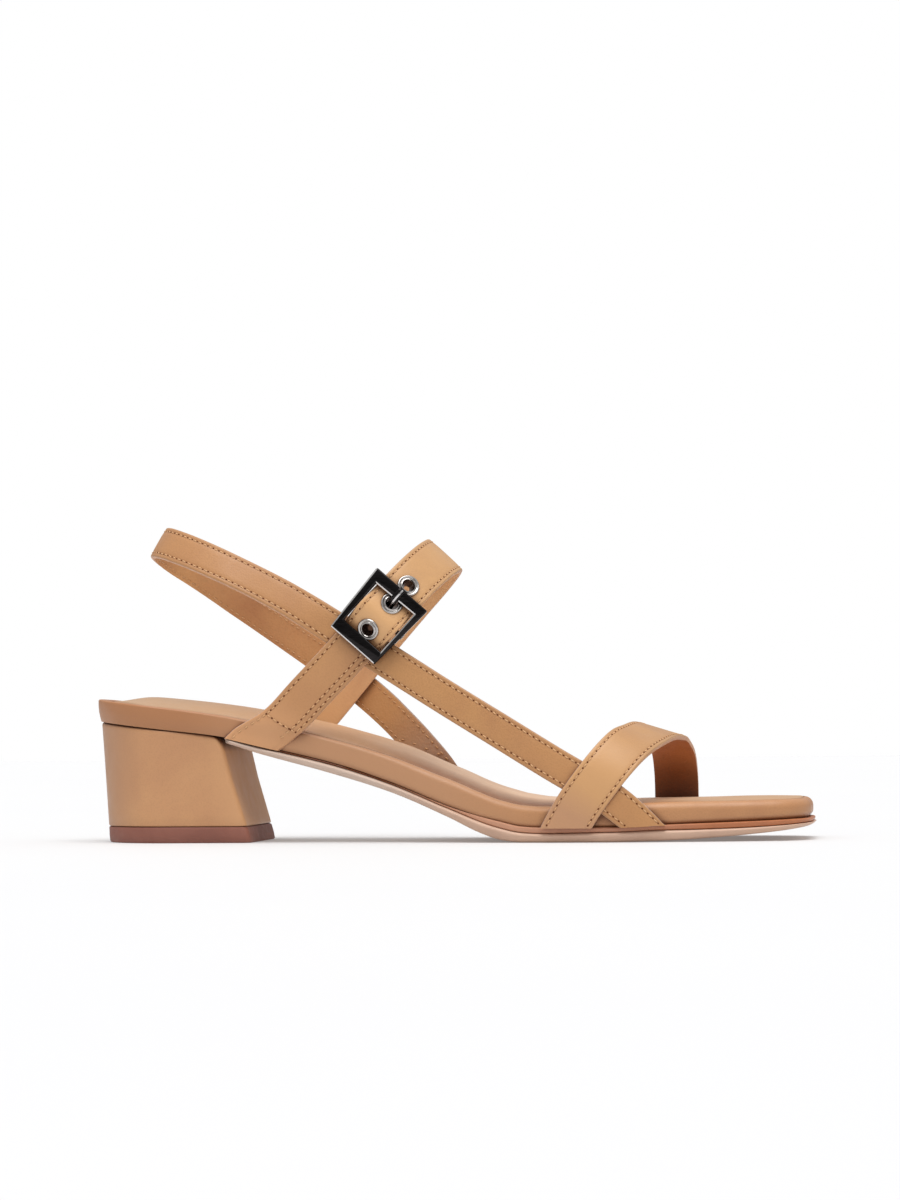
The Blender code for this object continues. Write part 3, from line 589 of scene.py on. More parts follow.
def laid_grid(mesh, columns, rows, spot, zone=None, uv=None):
    """Grid of faces whose corners are laid on spot(i, j), with a material zone and a UV per corner."""
    made = bmesh.ops.create_grid(mesh, x_segments=columns, y_segments=rows, size=1.0)
    index = {}
    for vert in made["verts"]:
        index[vert] = (round((vert.co.x + 1.0) * 0.5 * columns), round((vert.co.y + 1.0) * 0.5 * rows))
    layer = mesh.loops.layers.uv.verify()
    for face in {face for vert in index for face in vert.link_faces}:
        if zone:
            face.material_index = zone(min(index[vert][1] for vert in face.verts))
        if uv:
            for loop in face.loops:
                loop[layer].uv = uv(*index[loop.vert])
    for vert, (i, j) in index.items():
        vert.co = spot(i, j)


def merge_doubles(mesh):
    bmesh.ops.remove_doubles(mesh, verts=mesh.verts, dist=SAME_PLACE)


def close_mesh(mesh):
    """Merge seams and poles, and turn all faces outwards."""
    merge_doubles(mesh)
    bmesh.ops.dissolve_degenerate(mesh, edges=mesh.edges, dist=SAME_PLACE)
    bmesh.ops.recalc_face_normals(mesh, faces=mesh.faces)


def fill_ends(mesh):
    """Fill the open ends of a body, and return the new faces."""
    ends = [edge for edge in mesh.edges if edge.is_boundary]
    return bmesh.ops.holes_fill(mesh, edges=ends, sides=0)["faces"]


def sharp_edges(mesh):
    return [edge for edge in mesh.edges if edge.calc_face_angle(0.0) > SHARP_ANGLE]


def rounded(mesh, edges, offset, segments):
    """Bevel edges to a round, and return the new faces."""
    made = bmesh.ops.bevel(mesh, geom=edges, offset=offset, segments=segments, profile=0.5,
                           affect="EDGES", material=-1)
    return made["faces"]


def ring_section(inner, outer, half):
    """Section of a plain ring: radius and height of its corners."""
    return (inner, -half), (outer, -half), (outer, half), (inner, half)


def spin_section(mesh, section, steps):
    """Turn a closed section of radius and height round the z axis."""
    verts = [mesh.verts.new((radius, 0.0, height)) for radius, height in section]
    edges = [mesh.edges.new((verts[k - 1], verts[k])) for k in range(len(verts))]
    bmesh.ops.spin(mesh, geom=verts + edges, axis=(0, 0, 1), cent=(0, 0, 0), angle=2.0 * math.pi,
                   steps=steps, use_merge=True)


def mesh_data(name, mesh, *finishes):
    """Mesh data with its finishes; the working mesh is freed."""
    data = bpy.data.meshes.new(name)
    mesh.to_mesh(data)
    mesh.free()
    for finish in finishes:
        data.materials.append(finish)
    return data


def add_object(name, data):
    made = bpy.data.objects.new(name, data)
    bpy.context.scene.collection.objects.link(made)
    return made


def add_piece(name, mesh, finishes, slot, *nodes):
    """Object at the origin that rides on the shoe and stands for CAD nodes."""
    data = mesh_data(name, mesh, *finishes)
    data.shade_smooth()
    data.set_sharp_from_angle(angle=SHARP_ANGLE)
    piece = add_object(name, data)
    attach(piece, "root")
    if nodes:
        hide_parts(*nodes)
    return piece


# Plan outline of the sole


def plan_half_width(column, along, front):
    half = sole(column, along)
    if along < HEEL_ROUND:
        return half * bend(1.0 - along / HEEL_ROUND, HEEL_ROUND_POWER)
    corner = (along - (front - TOE_CORNER_LENGTH)) / TOE_CORNER_LENGTH
    if corner > 0.0:
        return half - TOE_CORNER_WIDTH * (1.0 - bend(min(corner, 1.0), TOE_CORNER_POWER))
    return half


def plan_stations(start, front):
    """Along positions of the rows, closer together where the outline turns."""
    stations = []
    middle_start = start
    if start < HEEL_ROUND:
        for i in range(HEEL_ROW_COUNT):
            stations.append(HEEL_ROUND * (1.0 - math.cos(0.5 * math.pi * i / HEEL_ROW_COUNT)))
        middle_start = HEEL_ROUND
    corner_start = front - TOE_CORNER_LENGTH
    for i in range(MIDDLE_ROW_COUNT):
        stations.append(middle_start + (corner_start - middle_start) * i / MIDDLE_ROW_COUNT)
    for i in range(TOE_ROW_COUNT + 1):
        stations.append(corner_start + TOE_CORNER_LENGTH * math.sin(0.5 * math.pi * i / TOE_ROW_COUNT))
    return stations


class SoleOutline:
    """Outline of a sole layer, counter-clockwise from the back of its outer side."""

    def __init__(self, start, front):
        stations = plan_stations(start, front)
        self.start = start
        self.closed_back = start < HEEL_ROUND
        self.last = len(stations) - 1
        outer = [(x, -plan_half_width("lateral", x, front)) for x in stations]
        inner = [(x, plan_half_width("medial", x, front)) for x in stations]
        shares = [j / COLUMN_COUNT for j in range(1, COLUMN_COUNT)]
        tip = [(front, outer[-1][1] + f * (inner[-1][1] - outer[-1][1])) for f in shares]
        back = []
        if self.closed_back:
            inner = inner[1:]
        else:
            back = [(start, inner[0][1] + f * (outer[0][1] - inner[0][1])) for f in shares]
        self.points = outer + tip + inner[::-1] + back

    def on_straight_back(self, x):
        return not self.closed_back and abs(x - self.start) < SAME_PLACE

    def inset(self, distance):
        """Points moved in along the outline's normals; a straight back edge keeps its place."""
        moved = []
        count = len(self.points)
        for i, (x, y) in enumerate(self.points):
            depth = distance(x) if callable(distance) else distance
            if self.on_straight_back(x):
                corner = i in (0, count - COLUMN_COUNT)
                moved.append((x, y - math.copysign(depth, y) if corner else y))
                continue
            before, after = self.points[i - 1], self.points[(i + 1) % count]
            tangent = Vector((after[0] - before[0], after[1] - before[1])).normalized()
            moved.append((x - tangent.y * depth, y + tangent.x * depth))
        return moved

    def ring(self, distance, height):
        """Inset outline raised to a height function; a straight back edge follows the heel's breast."""
        spots = []
        for x, y in self.inset(distance):
            level = height(x, y)
            if self.on_straight_back(x):
                x = breast_along(level) + GAP
            spots.append(place(x, y, level))
        return spots


def sole_body(outline, profile, low_height, top_height):
    """Closed layer of the sole: its side ring by ring from below, then both surfaces."""
    mesh = bmesh.new()
    rings = [outline.ring(inset, height) for inset, height in profile]
    count = len(outline.points)
    laid_grid(mesh, count, len(rings) - 1, lambda i, j: rings[j][i % count], uv=lambda i, j: (0.0, 1.0))

    def surface(ring, height):
        def spot(i, j):
            if i == outline.last:
                return ring[outline.last + j]
            if i == 0 and outline.closed_back:
                return ring[0]
            if i == 0:
                return ring[-j % count]
            outer, inner = ring[i], ring[2 * outline.last + COLUMN_COUNT - i]
            if j in (0, COLUMN_COUNT):
                return inner if j else outer
            middle = outer.lerp(inner, j / COLUMN_COUNT)
            middle.z = height(along_of(middle), middle.y)
            return middle
        laid_grid(mesh, outline.last, COLUMN_COUNT, spot,
                  uv=lambda i, j: (i / outline.last, 2.0 * j / COLUMN_COUNT - 1.0))

    surface(rings[0], low_height)
    surface(rings[-1], top_height)
    close_mesh(mesh)
    return mesh


# Straps


class StrapPath:
    """Smooth middle line of a strap, with its width and outward directions, measured by length."""

    def __init__(self, points, angles, width_rule, width):
        self.points = points
        self.angles = angles
        self.width_rule = width_rule
        self.width = width
        self.last = len(points) - 1
        rows = [k / LENGTH_SAMPLES for k in range(self.last * LENGTH_SAMPLES + 1)]
        self.sample_lengths = [0.0]
        for before, after in zip(rows, rows[1:]):
            step = (self.at(after)[0] - self.at(before)[0]).length
            self.sample_lengths.append(self.sample_lengths[-1] + step)

    def at(self, u):
        """Middle point, direction and table angle at u, which counts rows."""
        i = min(max(int(math.floor(u)), 0), self.last - 1)
        t = u - i
        p1, p2 = self.points[i], self.points[i + 1]
        p0 = self.points[i - 1] if i > 0 else p1 * 2.0 - p2
        p3 = self.points[i + 2] if i + 2 <= self.last else p2 * 2.0 - p1
        s1, s2 = chord_slopes(p0, p1, p2, p3)
        point = (p1 * (1 + 2 * t) * (1 - t) ** 2 + s1 * t * (1 - t) ** 2
                 + p2 * t * t * (3 - 2 * t) - s2 * t * t * (1 - t))
        direction = (p1 * (6 * t * t - 6 * t) + s1 * (1 - t) * (1 - 3 * t)
                     + p2 * (6 * t - 6 * t * t) + s2 * t * (3 * t - 2))
        angle = self.angles[i] + (self.angles[i + 1] - self.angles[i]) * t * t * (3 - 2 * t)
        return point, direction.normalized(), angle

    def frame(self, u):
        """Middle point, direction, width direction and outward direction."""
        point, direction, angle = self.at(u)
        wide = self.width_rule(direction, math.radians(angle))
        wide = (wide - direction * wide.dot(direction)).normalized()
        return point, direction, wide, wide.cross(direction).normalized()

    def spot(self, u, offset, out=0.0):
        """Point at an offset across the strap and out from its middle face."""
        point, _, wide, outward = self.frame(u)
        return point + wide * offset + outward * out

    def length_at(self, u):
        k = min(int(u * LENGTH_SAMPLES), len(self.sample_lengths) - 2)
        share = u * LENGTH_SAMPLES - k
        return self.sample_lengths[k] + share * (self.sample_lengths[k + 1] - self.sample_lengths[k])

    def row_at(self, length):
        lengths = self.sample_lengths
        k = span_index(lengths, length)
        share = (length - lengths[k]) / (lengths[k + 1] - lengths[k])
        return (k + share) / LENGTH_SAMPLES

    def level_row(self, offset, height, inside, outside):
        """Row where the line at an offset comes down to a height function of the sole."""
        def above(row):
            spot = self.spot(row, offset)
            return spot.z > height(along_of(spot), spot.y)
        return last_holding(above, inside, outside)


def chord_slopes(p0, p1, p2, p3):
    """End slopes of the span p1 to p2, weighted by the chords so that uneven rows stay smooth."""
    d0, d1, d2 = (p1 - p0).length, (p2 - p1).length, (p3 - p2).length
    s1 = ((p1 - p0) / d0 * d1 + (p2 - p1) / d1 * d0) / (d0 + d1)
    s2 = ((p2 - p1) / d1 * d2 + (p3 - p2) / d2 * d1) / (d1 + d2)
    return s1 * d1, s2 * d1


def leaning(direction, angle):
    """Width points up and tips in over the foot."""
    outward = Vector((-direction.y, direction.x, 0.0)).normalized()
    return Vector((0.0, 0.0, math.cos(angle))) - outward * math.sin(angle)


def pitched(direction, angle):
    """Width points to the toe and falls with the instep."""
    return Vector((math.cos(angle), 0.0, -math.sin(angle)))


def in_strap_plane(across_strap, slide, out):
    """World point from the buckle's own directions."""
    cosine, sine = math.cos(STRAP_PLANE_ANGLE), math.sin(STRAP_PLANE_ANGLE)
    along = BUCKLE_ALONG + cosine * slide + sine * across_strap
    height = BUCKLE_HEIGHT + sine * slide - cosine * across_strap
    return place(along, -out, height)


def table_path(columns, rows, rule, width):
    table = rows_as_dicts(columns, rows)
    points = [place(row["along"], row["side"], row["height"]) for row in table]
    return StrapPath(points, [row[columns[3]] for row in table], rule, width)


def plane_path(rows, width):
    table = rows_as_dicts(PLANE_COLUMNS, rows)
    points = [in_strap_plane(row["drift"], row["slide"], -row["side"]) for row in table]
    pitch = 90.0 - math.degrees(STRAP_PLANE_ANGLE)
    return StrapPath(points, [pitch] * len(points), pitched, width)


STRAPS = {
    "sling": table_path(SLING_COLUMNS, SLING_PATH, leaning, SLING_WIDTH),
    "quarter": plane_path(QUARTER_PATH, QUARTER_WIDTH),
    "instep": plane_path(INSTEP_PATH, INSTEP_WIDTH),
    "toe": table_path(TOE_COLUMNS, TOE_PATH, pitched, TOE_STRAP_WIDTH),
}
# Which edge of a strap shows the greyer cut of the leather; the other shows the paler lining
GREY_EDGE = {"sling": 1, "quarter": -1, "instep": -1, "toe": -1}
# Whether a strap's first and last end come down to the sole
STRAP_ENDS = {
    "sling": (True, True), "quarter": (True, False), "instep": (False, True), "toe": (True, True),
}


def strap_span(name, offset):
    """Lengths at which a strap's line at an offset starts and ends."""
    path = STRAPS[name]
    last = path.last
    first_down, last_down = STRAP_ENDS[name]
    foot = lifted(feather_height, -FOOT_DROP)
    start_offset = narrowed(name, 0.0, offset)
    start = path.level_row(start_offset, foot, END_ROWS, 0.0) if first_down else 0.0
    end = path.level_row(offset, foot, last - END_ROWS, last) if last_down else last
    return path.length_at(start), path.length_at(end)


def narrowed(name, length, offset):
    """Offset across a strap, drawn in or let out towards its foot."""
    change = 0.0
    for row in rows_as_dicts(FOOT_SHAPE_COLUMNS, FOOT_SHAPES):
        if row["strap"] == name and offset * row["edge"] > 0.0:
            rest = clamped((row["start"] - length) / (row["start"] - row["full"]))
            change += row["change"] * rest * rest
    return offset * (1.0 + change)


def edge_drop(distance, radius):
    """How far a face falls away over its rounded edge, by distance from that edge."""
    if distance >= radius:
        return 0.0
    return radius - math.sqrt(radius ** 2 - (radius - distance) ** 2)


def outer_relief(distance, middle_share):
    """How far the outer face stands from the strap's middle face, by distance from its edge."""
    groove = STITCH_GROOVE * math.exp(-((distance - STITCH_MARGIN) / GROOVE_WIDTH) ** 2)
    dome = STRAP_DOME * (1.0 - middle_share ** 2)
    return STRAP_THICKNESS / 2.0 - edge_drop(distance, OUTER_ROUND) - groove + dome


def inner_relief(distance):
    return -STRAP_THICKNESS / 2.0 + edge_drop(distance, INNER_ROUND)


def strap_section(width):
    """Points round a strap's section as offset, out and zone, from the middle of the lining."""
    half = width / 2.0
    lining = [(half - step, inner_relief(step), LINING_ZONE) for step in STRAP_INNER_STEPS]
    outer = [(half - step, outer_relief(step, 1.0 - step / half), FACE_ZONE)
             for step in STRAP_OUTER_STEPS]
    right = [(0.0, -STRAP_THICKNESS / 2.0, LINING_ZONE)] + lining[::-1] + outer
    left = [(-offset, out, zone) for offset, out, zone in right[:0:-1]]
    return right + [(0.0, outer_relief(half, 0.0), FACE_ZONE)] + left


def crease_depth(name, length, offset):
    """Listed creases and ripples of a strap."""
    depth = 0.0
    for row in rows_as_dicts(CREASE_COLUMNS, CREASES):
        if row["strap"] != name:
            continue
        lead = (length - row["at"] - row["slant"] * offset) / row["half"]
        reach = (offset - row["across"]) / row["reach"]
        if abs(lead) < CREASE_REACH:
            depth += row["depth"] * math.exp(-lead * lead - reach * reach)
    return depth


def face_ripple(length, offset):
    """Slight unevenness of a cut and glued strap."""
    return FACE_RIPPLE * uneven(FACE_RIPPLE_SCALES, length, offset, FACE_LAYER)


def pressed_foot(name, length, offset):
    """How far the quarter strap's foot is pressed in against the footbed's wall."""
    if name != "quarter":
        return 0.0
    path = STRAPS[name]
    spot = path.spot(path.row_at(length), offset)
    along, side = along_of(spot), spot.y
    rise = (spot.z - feather_height(along, side)) / sole("wall", along)
    front = 0.5 + offset / path.width
    return (FOOT_PRESS + FOOT_FRONT_PRESS * front * front) * eased(FOOT_PRESS_TOP - rise)


def strap_drift(name, length, offset):
    """Creases, ripples and pressing that move both faces of a strap."""
    return (crease_depth(name, length, offset) + face_ripple(length, offset)
            - pressed_foot(name, length, offset))


def strap_mesh(name):
    path = STRAPS[name]
    section = strap_section(path.width)
    count = len(section)
    spans = [strap_span(name, offset) for offset, _, _ in section]
    steps = round((spans[0][1] - spans[0][0]) / STRAP_STEP)
    turn = [0.0]
    for k in range(count):
        before, after = section[k], section[(k + 1) % count]
        turn.append(turn[-1] + math.hypot(after[0] - before[0], after[1] - before[1]))
    middle = turn[count // 2]

    def length_of(i, j):
        start, end = spans[j % count]
        return start + (end - start) * i / steps

    def spot(i, j):
        offset, out, _ = section[j % count]
        length = length_of(i, j)
        return path.spot(path.row_at(length), narrowed(name, length, offset),
                         out + strap_drift(name, length, offset))

    def zone(j):
        pair = (section[j % count], section[(j + 1) % count])
        offset = 0.5 * (pair[0][0] + pair[1][0])
        if abs(offset) > path.width / 2.0 - EDGE_BAND:
            return GREY_ZONE if offset * GREY_EDGE[name] > 0.0 else PALE_ZONE
        return max(z for _, _, z in pair)

    def uv(i, j):
        return length_of(i, j), (turn[j] - middle) * 2.0 / path.width

    mesh = bmesh.new()
    laid_grid(mesh, steps, count, spot, zone, uv)
    merge_doubles(mesh)
    for face in fill_ends(mesh):
        face.material_index = GREY_ZONE
    close_mesh(mesh)
    return mesh


def stitch_matrix(path, length, offset, out, turn=0.0):
    """Placement with x along a row of stitches and z out of the strap."""
    point, direction, wide, outward = path.frame(path.row_at(length))
    x_axis = (direction * math.cos(turn) + wide * math.sin(turn)).normalized()
    frame_axes = Matrix((x_axis, outward.cross(x_axis), outward)).transposed()
    return Matrix.Translation(point + wide * offset + outward * out) @ frame_axes.to_4x4()


def bead(name, size, zone):
    """Small rounded bead, the pattern of each stitch and each needle hole."""
    mesh = bmesh.new()
    around, rings = BEAD_SEGMENTS
    bmesh.ops.create_uvsphere(mesh, u_segments=around, v_segments=rings, radius=0.5)
    bmesh.ops.scale(mesh, vec=size, verts=mesh.verts)
    for face in mesh.faces:
        face.material_index = zone
    return mesh_data(name, mesh)


THREAD_BEAD = bead("thread_bead", STITCH_SIZE, 0)
HOLE_BEAD = bead("hole_bead", STITCH_HOLE, 1)


def add_copy(mesh, pattern, matrix):
    """Join a placed copy of a pattern to a mesh."""
    data = pattern.copy()
    data.transform(matrix)
    mesh.from_mesh(data)
    bpy.data.meshes.remove(data)


def stitch_run(mesh, name, spots, face=1, holes=True):
    """Thread and holes along (length, offset) spots a pitch apart, on the outer face or the lining."""
    path = STRAPS[name]

    def matrix(length, offset, turn):
        margin = path.width / 2.0 - abs(offset)
        if face > 0:
            out = outer_relief(margin, 1.0 - 2.0 * margin / path.width) + STITCH_SINK
        else:
            out = inner_relief(margin) - STITCH_SINK
        out += strap_drift(name, length, offset)
        return stitch_matrix(path, length, narrowed(name, length, offset), out, turn)

    for (length, offset), (after, after_offset) in zip(spots, spots[1:]):
        turn = math.atan2(after_offset - offset, after - length)
        sway = uneven(STITCH_SCALES, length, offset, face)
        if face > 0 and holes:
            add_copy(mesh, HOLE_BEAD, matrix(length, offset + STITCH_WANDER * sway, turn))
        middle = 0.5 * (length + after) + STITCH_WANDER * sway
        tilt = turn + STITCH_TILT * (0.5 + sway)
        add_copy(mesh, THREAD_BEAD, matrix(middle, 0.5 * (offset + after_offset), tilt))


def edge_stitches(mesh, name, margin, edge, face):
    offset = edge * (STRAPS[name].width / 2.0 - margin)
    start, end = strap_span(name, offset)
    first = start + STITCH_END_TRIM
    if name == "quarter":
        first = quarter_row_length(offset)
    count = int((end - STITCH_END_TRIM - first) / STITCH_PITCH)
    stitch_run(mesh, name, [(first + k * STITCH_PITCH, offset) for k in range(count + 1)], face)


def foot_stitches(mesh, margin, edge, count):
    """Stitches below the quarter strap's cross row, drawn tight enough to hide their holes."""
    offset = edge * (QUARTER_WIDTH / 2.0 - margin)
    first = quarter_row_length(offset)
    spots = [(first - k * STITCH_PITCH, offset) for k in range(count + 1)]
    stitch_run(mesh, "quarter", spots, holes=False)


def quarter_row_length(offset):
    """Length of the quarter strap at which its slanted cross row lies."""
    return QUARTER_ROW_SLIDE + QUARTER_ROW_RISE * offset - QUARTER_PATH[0][0]


def sling_row_length(offset):
    """Length of the sling strap at which the row over its inner end lies."""
    path = STRAPS["sling"]
    height = lifted(rim_height, SLING_ROW_HEIGHT)
    return path.length_at(path.level_row(offset, height, path.last - END_ROWS, path.last))


def cross_stitches(mesh, name, length_of, face):
    """Row across a strap, at a length worked out for each offset."""
    reach = STRAPS[name].width / 2.0 - STITCH_MARGIN
    count = round(2.0 * reach / STITCH_PITCH)
    offsets = [-reach + 2.0 * reach * k / count for k in range(count + 1)]
    stitch_run(mesh, name, [(length_of(offset), offset) for offset in offsets], face)


# Finishes


def rgb(red, green, blue):
    """Linear colour from screen values."""
    def linear(value):
        value /= 255.0
        return value / 12.92 if value <= 0.04045 else ((value + 0.055) / 1.055) ** 2.4
    return (linear(red), linear(green), linear(blue), 1.0)


class Finish:
    """A procedural finish: one Principled shader and the nodes that feed it."""

    def __init__(self, name, roughness, **sockets):
        self.material = bpy.data.materials.new(name)
        self.material.use_nodes = True
        self.tree = self.material.node_tree
        self.shader = self.tree.nodes["Principled BSDF"]
        self.shader.inputs["Roughness"].default_value = roughness
        for socket, value in sockets.items():
            self.shader.inputs[socket.replace("_", " ")].default_value = value
        self.object_space = self.tree.nodes.new("ShaderNodeTexCoord").outputs["Object"]

    def node(self, kind, inputs, output, **settings):
        """Add a node, set or link its inputs, and return one of its outputs."""
        made = self.tree.nodes.new(kind)
        for key, value in settings.items():
            setattr(made, key, value)
        for key, value in inputs.items():
            if isinstance(value, bpy.types.NodeSocket):
                self.tree.links.new(value, made.inputs[key])
            else:
                made.inputs[key].default_value = value
        return made.outputs[output]

    def noise(self, scale, detail=3.0, distortion=0.0, space=None):
        inputs = {"Vector": space or self.object_space, "Scale": scale, "Detail": detail,
                  "Distortion": distortion}
        return self.node("ShaderNodeTexNoise", inputs, 0)

    def cells(self, scale):
        inputs = {"Vector": self.object_space, "Scale": scale}
        return self.node("ShaderNodeTexVoronoi", inputs, "Distance")

    def stretched(self, stretch):
        """Object coordinates stretched along the axes."""
        return self.node("ShaderNodeMapping", {"Vector": self.object_space, "Scale": stretch}, "Vector")

    def spread(self, value, low, high, to_low=0.0, to_high=1.0):
        inputs = {"Value": value, "From Min": low, "From Max": high, "To Min": to_low, "To Max": to_high}
        return self.node("ShaderNodeMapRange", inputs, "Result")

    def part(self, vector, axis):
        return self.node("ShaderNodeSeparateXYZ", {"Vector": vector}, axis)

    def own_uv(self, axis):
        """Length along a strap as X, or share of the way out to its edge as Y."""
        return self.part(self.node("ShaderNodeUVMap", {}, "UV"), axis)

    def math(self, operation, first, second):
        return self.node("ShaderNodeMath", {0: first, 1: second}, 0, operation=operation)

    def mix(self, factor, first, second, blend="MIX"):
        inputs = {0: factor, 6: first, 7: second}
        return self.node("ShaderNodeMix", inputs, 2, data_type="RGBA", blend_type=blend)

    def towards_heel(self, colour, tones):
        """Tones that come in towards the heel, each with the x where it is full and where it starts."""
        for tone, full, start in tones:
            along = self.part(self.object_space, "X")
            colour = self.mix(self.spread(along, full, start, 1.0, 0.0), colour, tone)
        return colour

    def feed(self, socket, value):
        self.tree.links.new(value, self.shader.inputs[socket])

    def bump(self, height, strength, distance):
        inputs = {"Height": height, "Strength": strength, "Distance": distance}
        self.feed("Normal", self.node("ShaderNodeBump", inputs, "Normal"))


def toned(colour, tone):
    """Colour multiplied by a tone."""
    return tuple(part * factor for part, factor in zip(colour, tone)) + (1.0,)


def leather(name, light, dark, roughness, grain, grain_depth, edge_shade=None,
            edge_range=(0.80, 0.98, 0.35), ends=(), rear=(), crevice_reach=0.003, **sockets):
    """Smooth dyed leather: cloudy colour, pores, fine grain and uneven gloss, with painted shade in its
    crevices and where parts meet.

    edge_range says where the edge's shade starts and is full on the way out, and its least strength under
    the patchy noise.
    ends holds tones along a strap, each with the length where it starts and where it is full.
    rear holds tones along the shoe, as towards_heel takes them.
    """
    finish = Finish(name, roughness, **sockets)
    cloud = finish.spread(finish.noise(scale=38.0, detail=4.0, distortion=0.6), 0.32, 0.68)
    colour = finish.mix(cloud, dark, light)
    pores = finish.spread(finish.cells(grain), 0.0, 0.55, to_low=0.94, to_high=1.02)
    colour = finish.mix(1.0, colour, pores, "MULTIPLY")
    # Darker towards the edges, in patches; on the sock this is painted shade along its rolled edge by the
    # rim
    if edge_shade:
        start, full, least = edge_range
        near = finish.spread(finish.math("ABSOLUTE", finish.own_uv("Y"), 0.0), start, full)
        patchy = finish.spread(finish.noise(scale=420.0), *NOISE_RANGE, to_low=least)
        colour = finish.mix(finish.math("MULTIPLY", near, patchy), colour, edge_shade)
    for tone, start, full in ends:
        colour = finish.mix(finish.spread(finish.own_uv("X"), start, full), colour, tone)
    colour = finish.towards_heel(colour, rear)
    # Painted shade: the ambient occlusion node darkens the colour in crevices, under crossing straps and
    # where parts meet
    open_share = finish.node("ShaderNodeAmbientOcclusion", {"Distance": crevice_reach}, "AO", samples=8)
    painted_crevice_shade = finish.spread(open_share, *CREVICE_RANGE, CREVICE_SHADE, 0.0)
    finish.feed("Base Color", finish.mix(painted_crevice_shade, colour, CREVICE_COLOUR))
    gloss = finish.noise(scale=170.0, detail=4.0)
    finish.feed("Roughness", finish.spread(gloss, *NOISE_RANGE, roughness - 0.06, roughness + 0.08))
    fine = finish.math("MULTIPLY", finish.noise(scale=2600.0, detail=4.0), 0.6)
    broad = finish.math("MULTIPLY", finish.noise(scale=230.0, detail=2.0), 0.5)
    height = finish.math("ADD", finish.math("ADD", finish.cells(grain), fine), broad)
    finish.bump(height, strength=0.35, distance=grain_depth)
    return finish.material


def thread_finish():
    """Waxed sewing thread with twisted plies."""
    finish = Finish("tan_thread", roughness=0.55)
    inputs = {"Vector": finish.object_space, "Scale": 900.0, "Distortion": 2.0}
    twist = finish.node("ShaderNodeTexWave", inputs, 1)
    finish.feed("Base Color", finish.mix(twist, rgb(196, 147, 101), rgb(222, 175, 126)))
    finish.bump(twist, strength=0.4, distance=0.00006)
    return finish.material


def hole_finish():
    """Shade inside a needle hole."""
    finish = Finish("needle_hole", roughness=0.9, Specular_IOR_Level=0.1)
    finish.feed("Base Color", finish.mix(finish.noise(scale=1500.0), rgb(86, 46, 26), rgb(122, 74, 46)))
    return finish.material


def edge_finish(name, light, dark):
    """Cut leather edge, dyed unevenly, with loose fibres."""
    finish = Finish(name, roughness=0.62)
    fibre = finish.noise(scale=1400.0, detail=5.0, distortion=1.0)
    finish.feed("Base Color", finish.mix(finish.spread(fibre, *NOISE_RANGE), dark, light))
    finish.bump(fibre, strength=0.5, distance=0.00012)
    return finish.material


def rubber_finish(name, light, dark, roughness, speckle, depth, rear=()):
    """Moulded sole material with a fine cast surface and scuffs."""
    finish = Finish(name, roughness)
    cloud = finish.noise(scale=70.0, detail=4.0, distortion=0.8)
    colour = finish.mix(finish.spread(cloud, *NOISE_RANGE), dark, light)
    scuff = finish.noise(scale=90.0, detail=5.0, distortion=0.5, space=finish.stretched((1.0, 6.0, 6.0)))
    colour = finish.mix(finish.spread(scuff, 0.55, 0.75, to_high=0.25), colour, light)
    finish.feed("Base Color", finish.towards_heel(colour, rear))
    finish.feed("Roughness", finish.spread(scuff, *NOISE_RANGE, roughness - 0.08, roughness + 0.10))
    finish.bump(finish.noise(scale=speckle, detail=4.0), strength=0.4, distance=depth)
    return finish.material


def plated_finish(name, light, dark, roughness):
    """Plated metal with faint polishing marks."""
    finish = Finish(name, roughness, Metallic=1.0)
    marks = finish.noise(scale=300.0, detail=4.0, space=finish.stretched((1.0, 1.0, 9.0)))
    finish.feed("Base Color", finish.mix(finish.spread(marks, *NOISE_RANGE), dark, light))
    finish.feed("Roughness", finish.spread(marks, *NOISE_RANGE, roughness, roughness + 0.08))
    finish.bump(finish.noise(scale=900.0), strength=0.08, distance=0.00003)
    return finish.material


def floor_finish():
    """Matt white floor that glows a little, as a light table does."""
    finish = Finish("studio_floor", roughness=0.6, Specular_IOR_Level=0.2, Emission_Color=WHITE,
                    Emission_Strength=FLOOR_GLOW)
    finish.feed("Base Color", finish.mix(finish.noise(scale=3.0), FLOOR_DARK, FLOOR_LIGHT))
    return finish.material


WHITE = (1.0, 1.0, 1.0, 1.0)
FLOOR_GLOW = 0.15
FLOOR_DARK = (0.612, 0.612, 0.622, 1.0)
FLOOR_LIGHT = (0.627, 0.627, 0.627, 1.0)
# Values between which nearly all of a noise lies
NOISE_RANGE = (0.3, 0.7)
# Painted shade in crevices: the open share at which it is full and at which it is gone, its strongest
# share and its colour
CREVICE_RANGE = (0.45, 0.94)
CREVICE_SHADE = 0.85
CREVICE_COLOUR = rgb(96, 52, 26)
TAN_LIGHT, TAN_DARK = rgb(204, 152, 104), rgb(192, 140, 98)
LINING_LIGHT, LINING_DARK = rgb(198, 144, 99), rgb(176, 120, 82)
# Each strap has its own tone
FACE_TONES = {
    "sling": (0.84, 0.80, 0.71),
    "quarter": (0.88, 0.85, 0.81),
    "instep": (0.94, 1.00, 0.94),
    "toe": (0.84, 0.87, 0.80),
}
# Tones of the linings; the toe strap's is darkened as painted shade inside the strap
LINING_TONES = {
    "sling": (1.20, 1.33, 1.30),
    "quarter": (1.28, 1.34, 1.30),
    "instep": (1.40, 1.76, 1.96),
    "toe": (0.92, 0.72, 0.56),
}
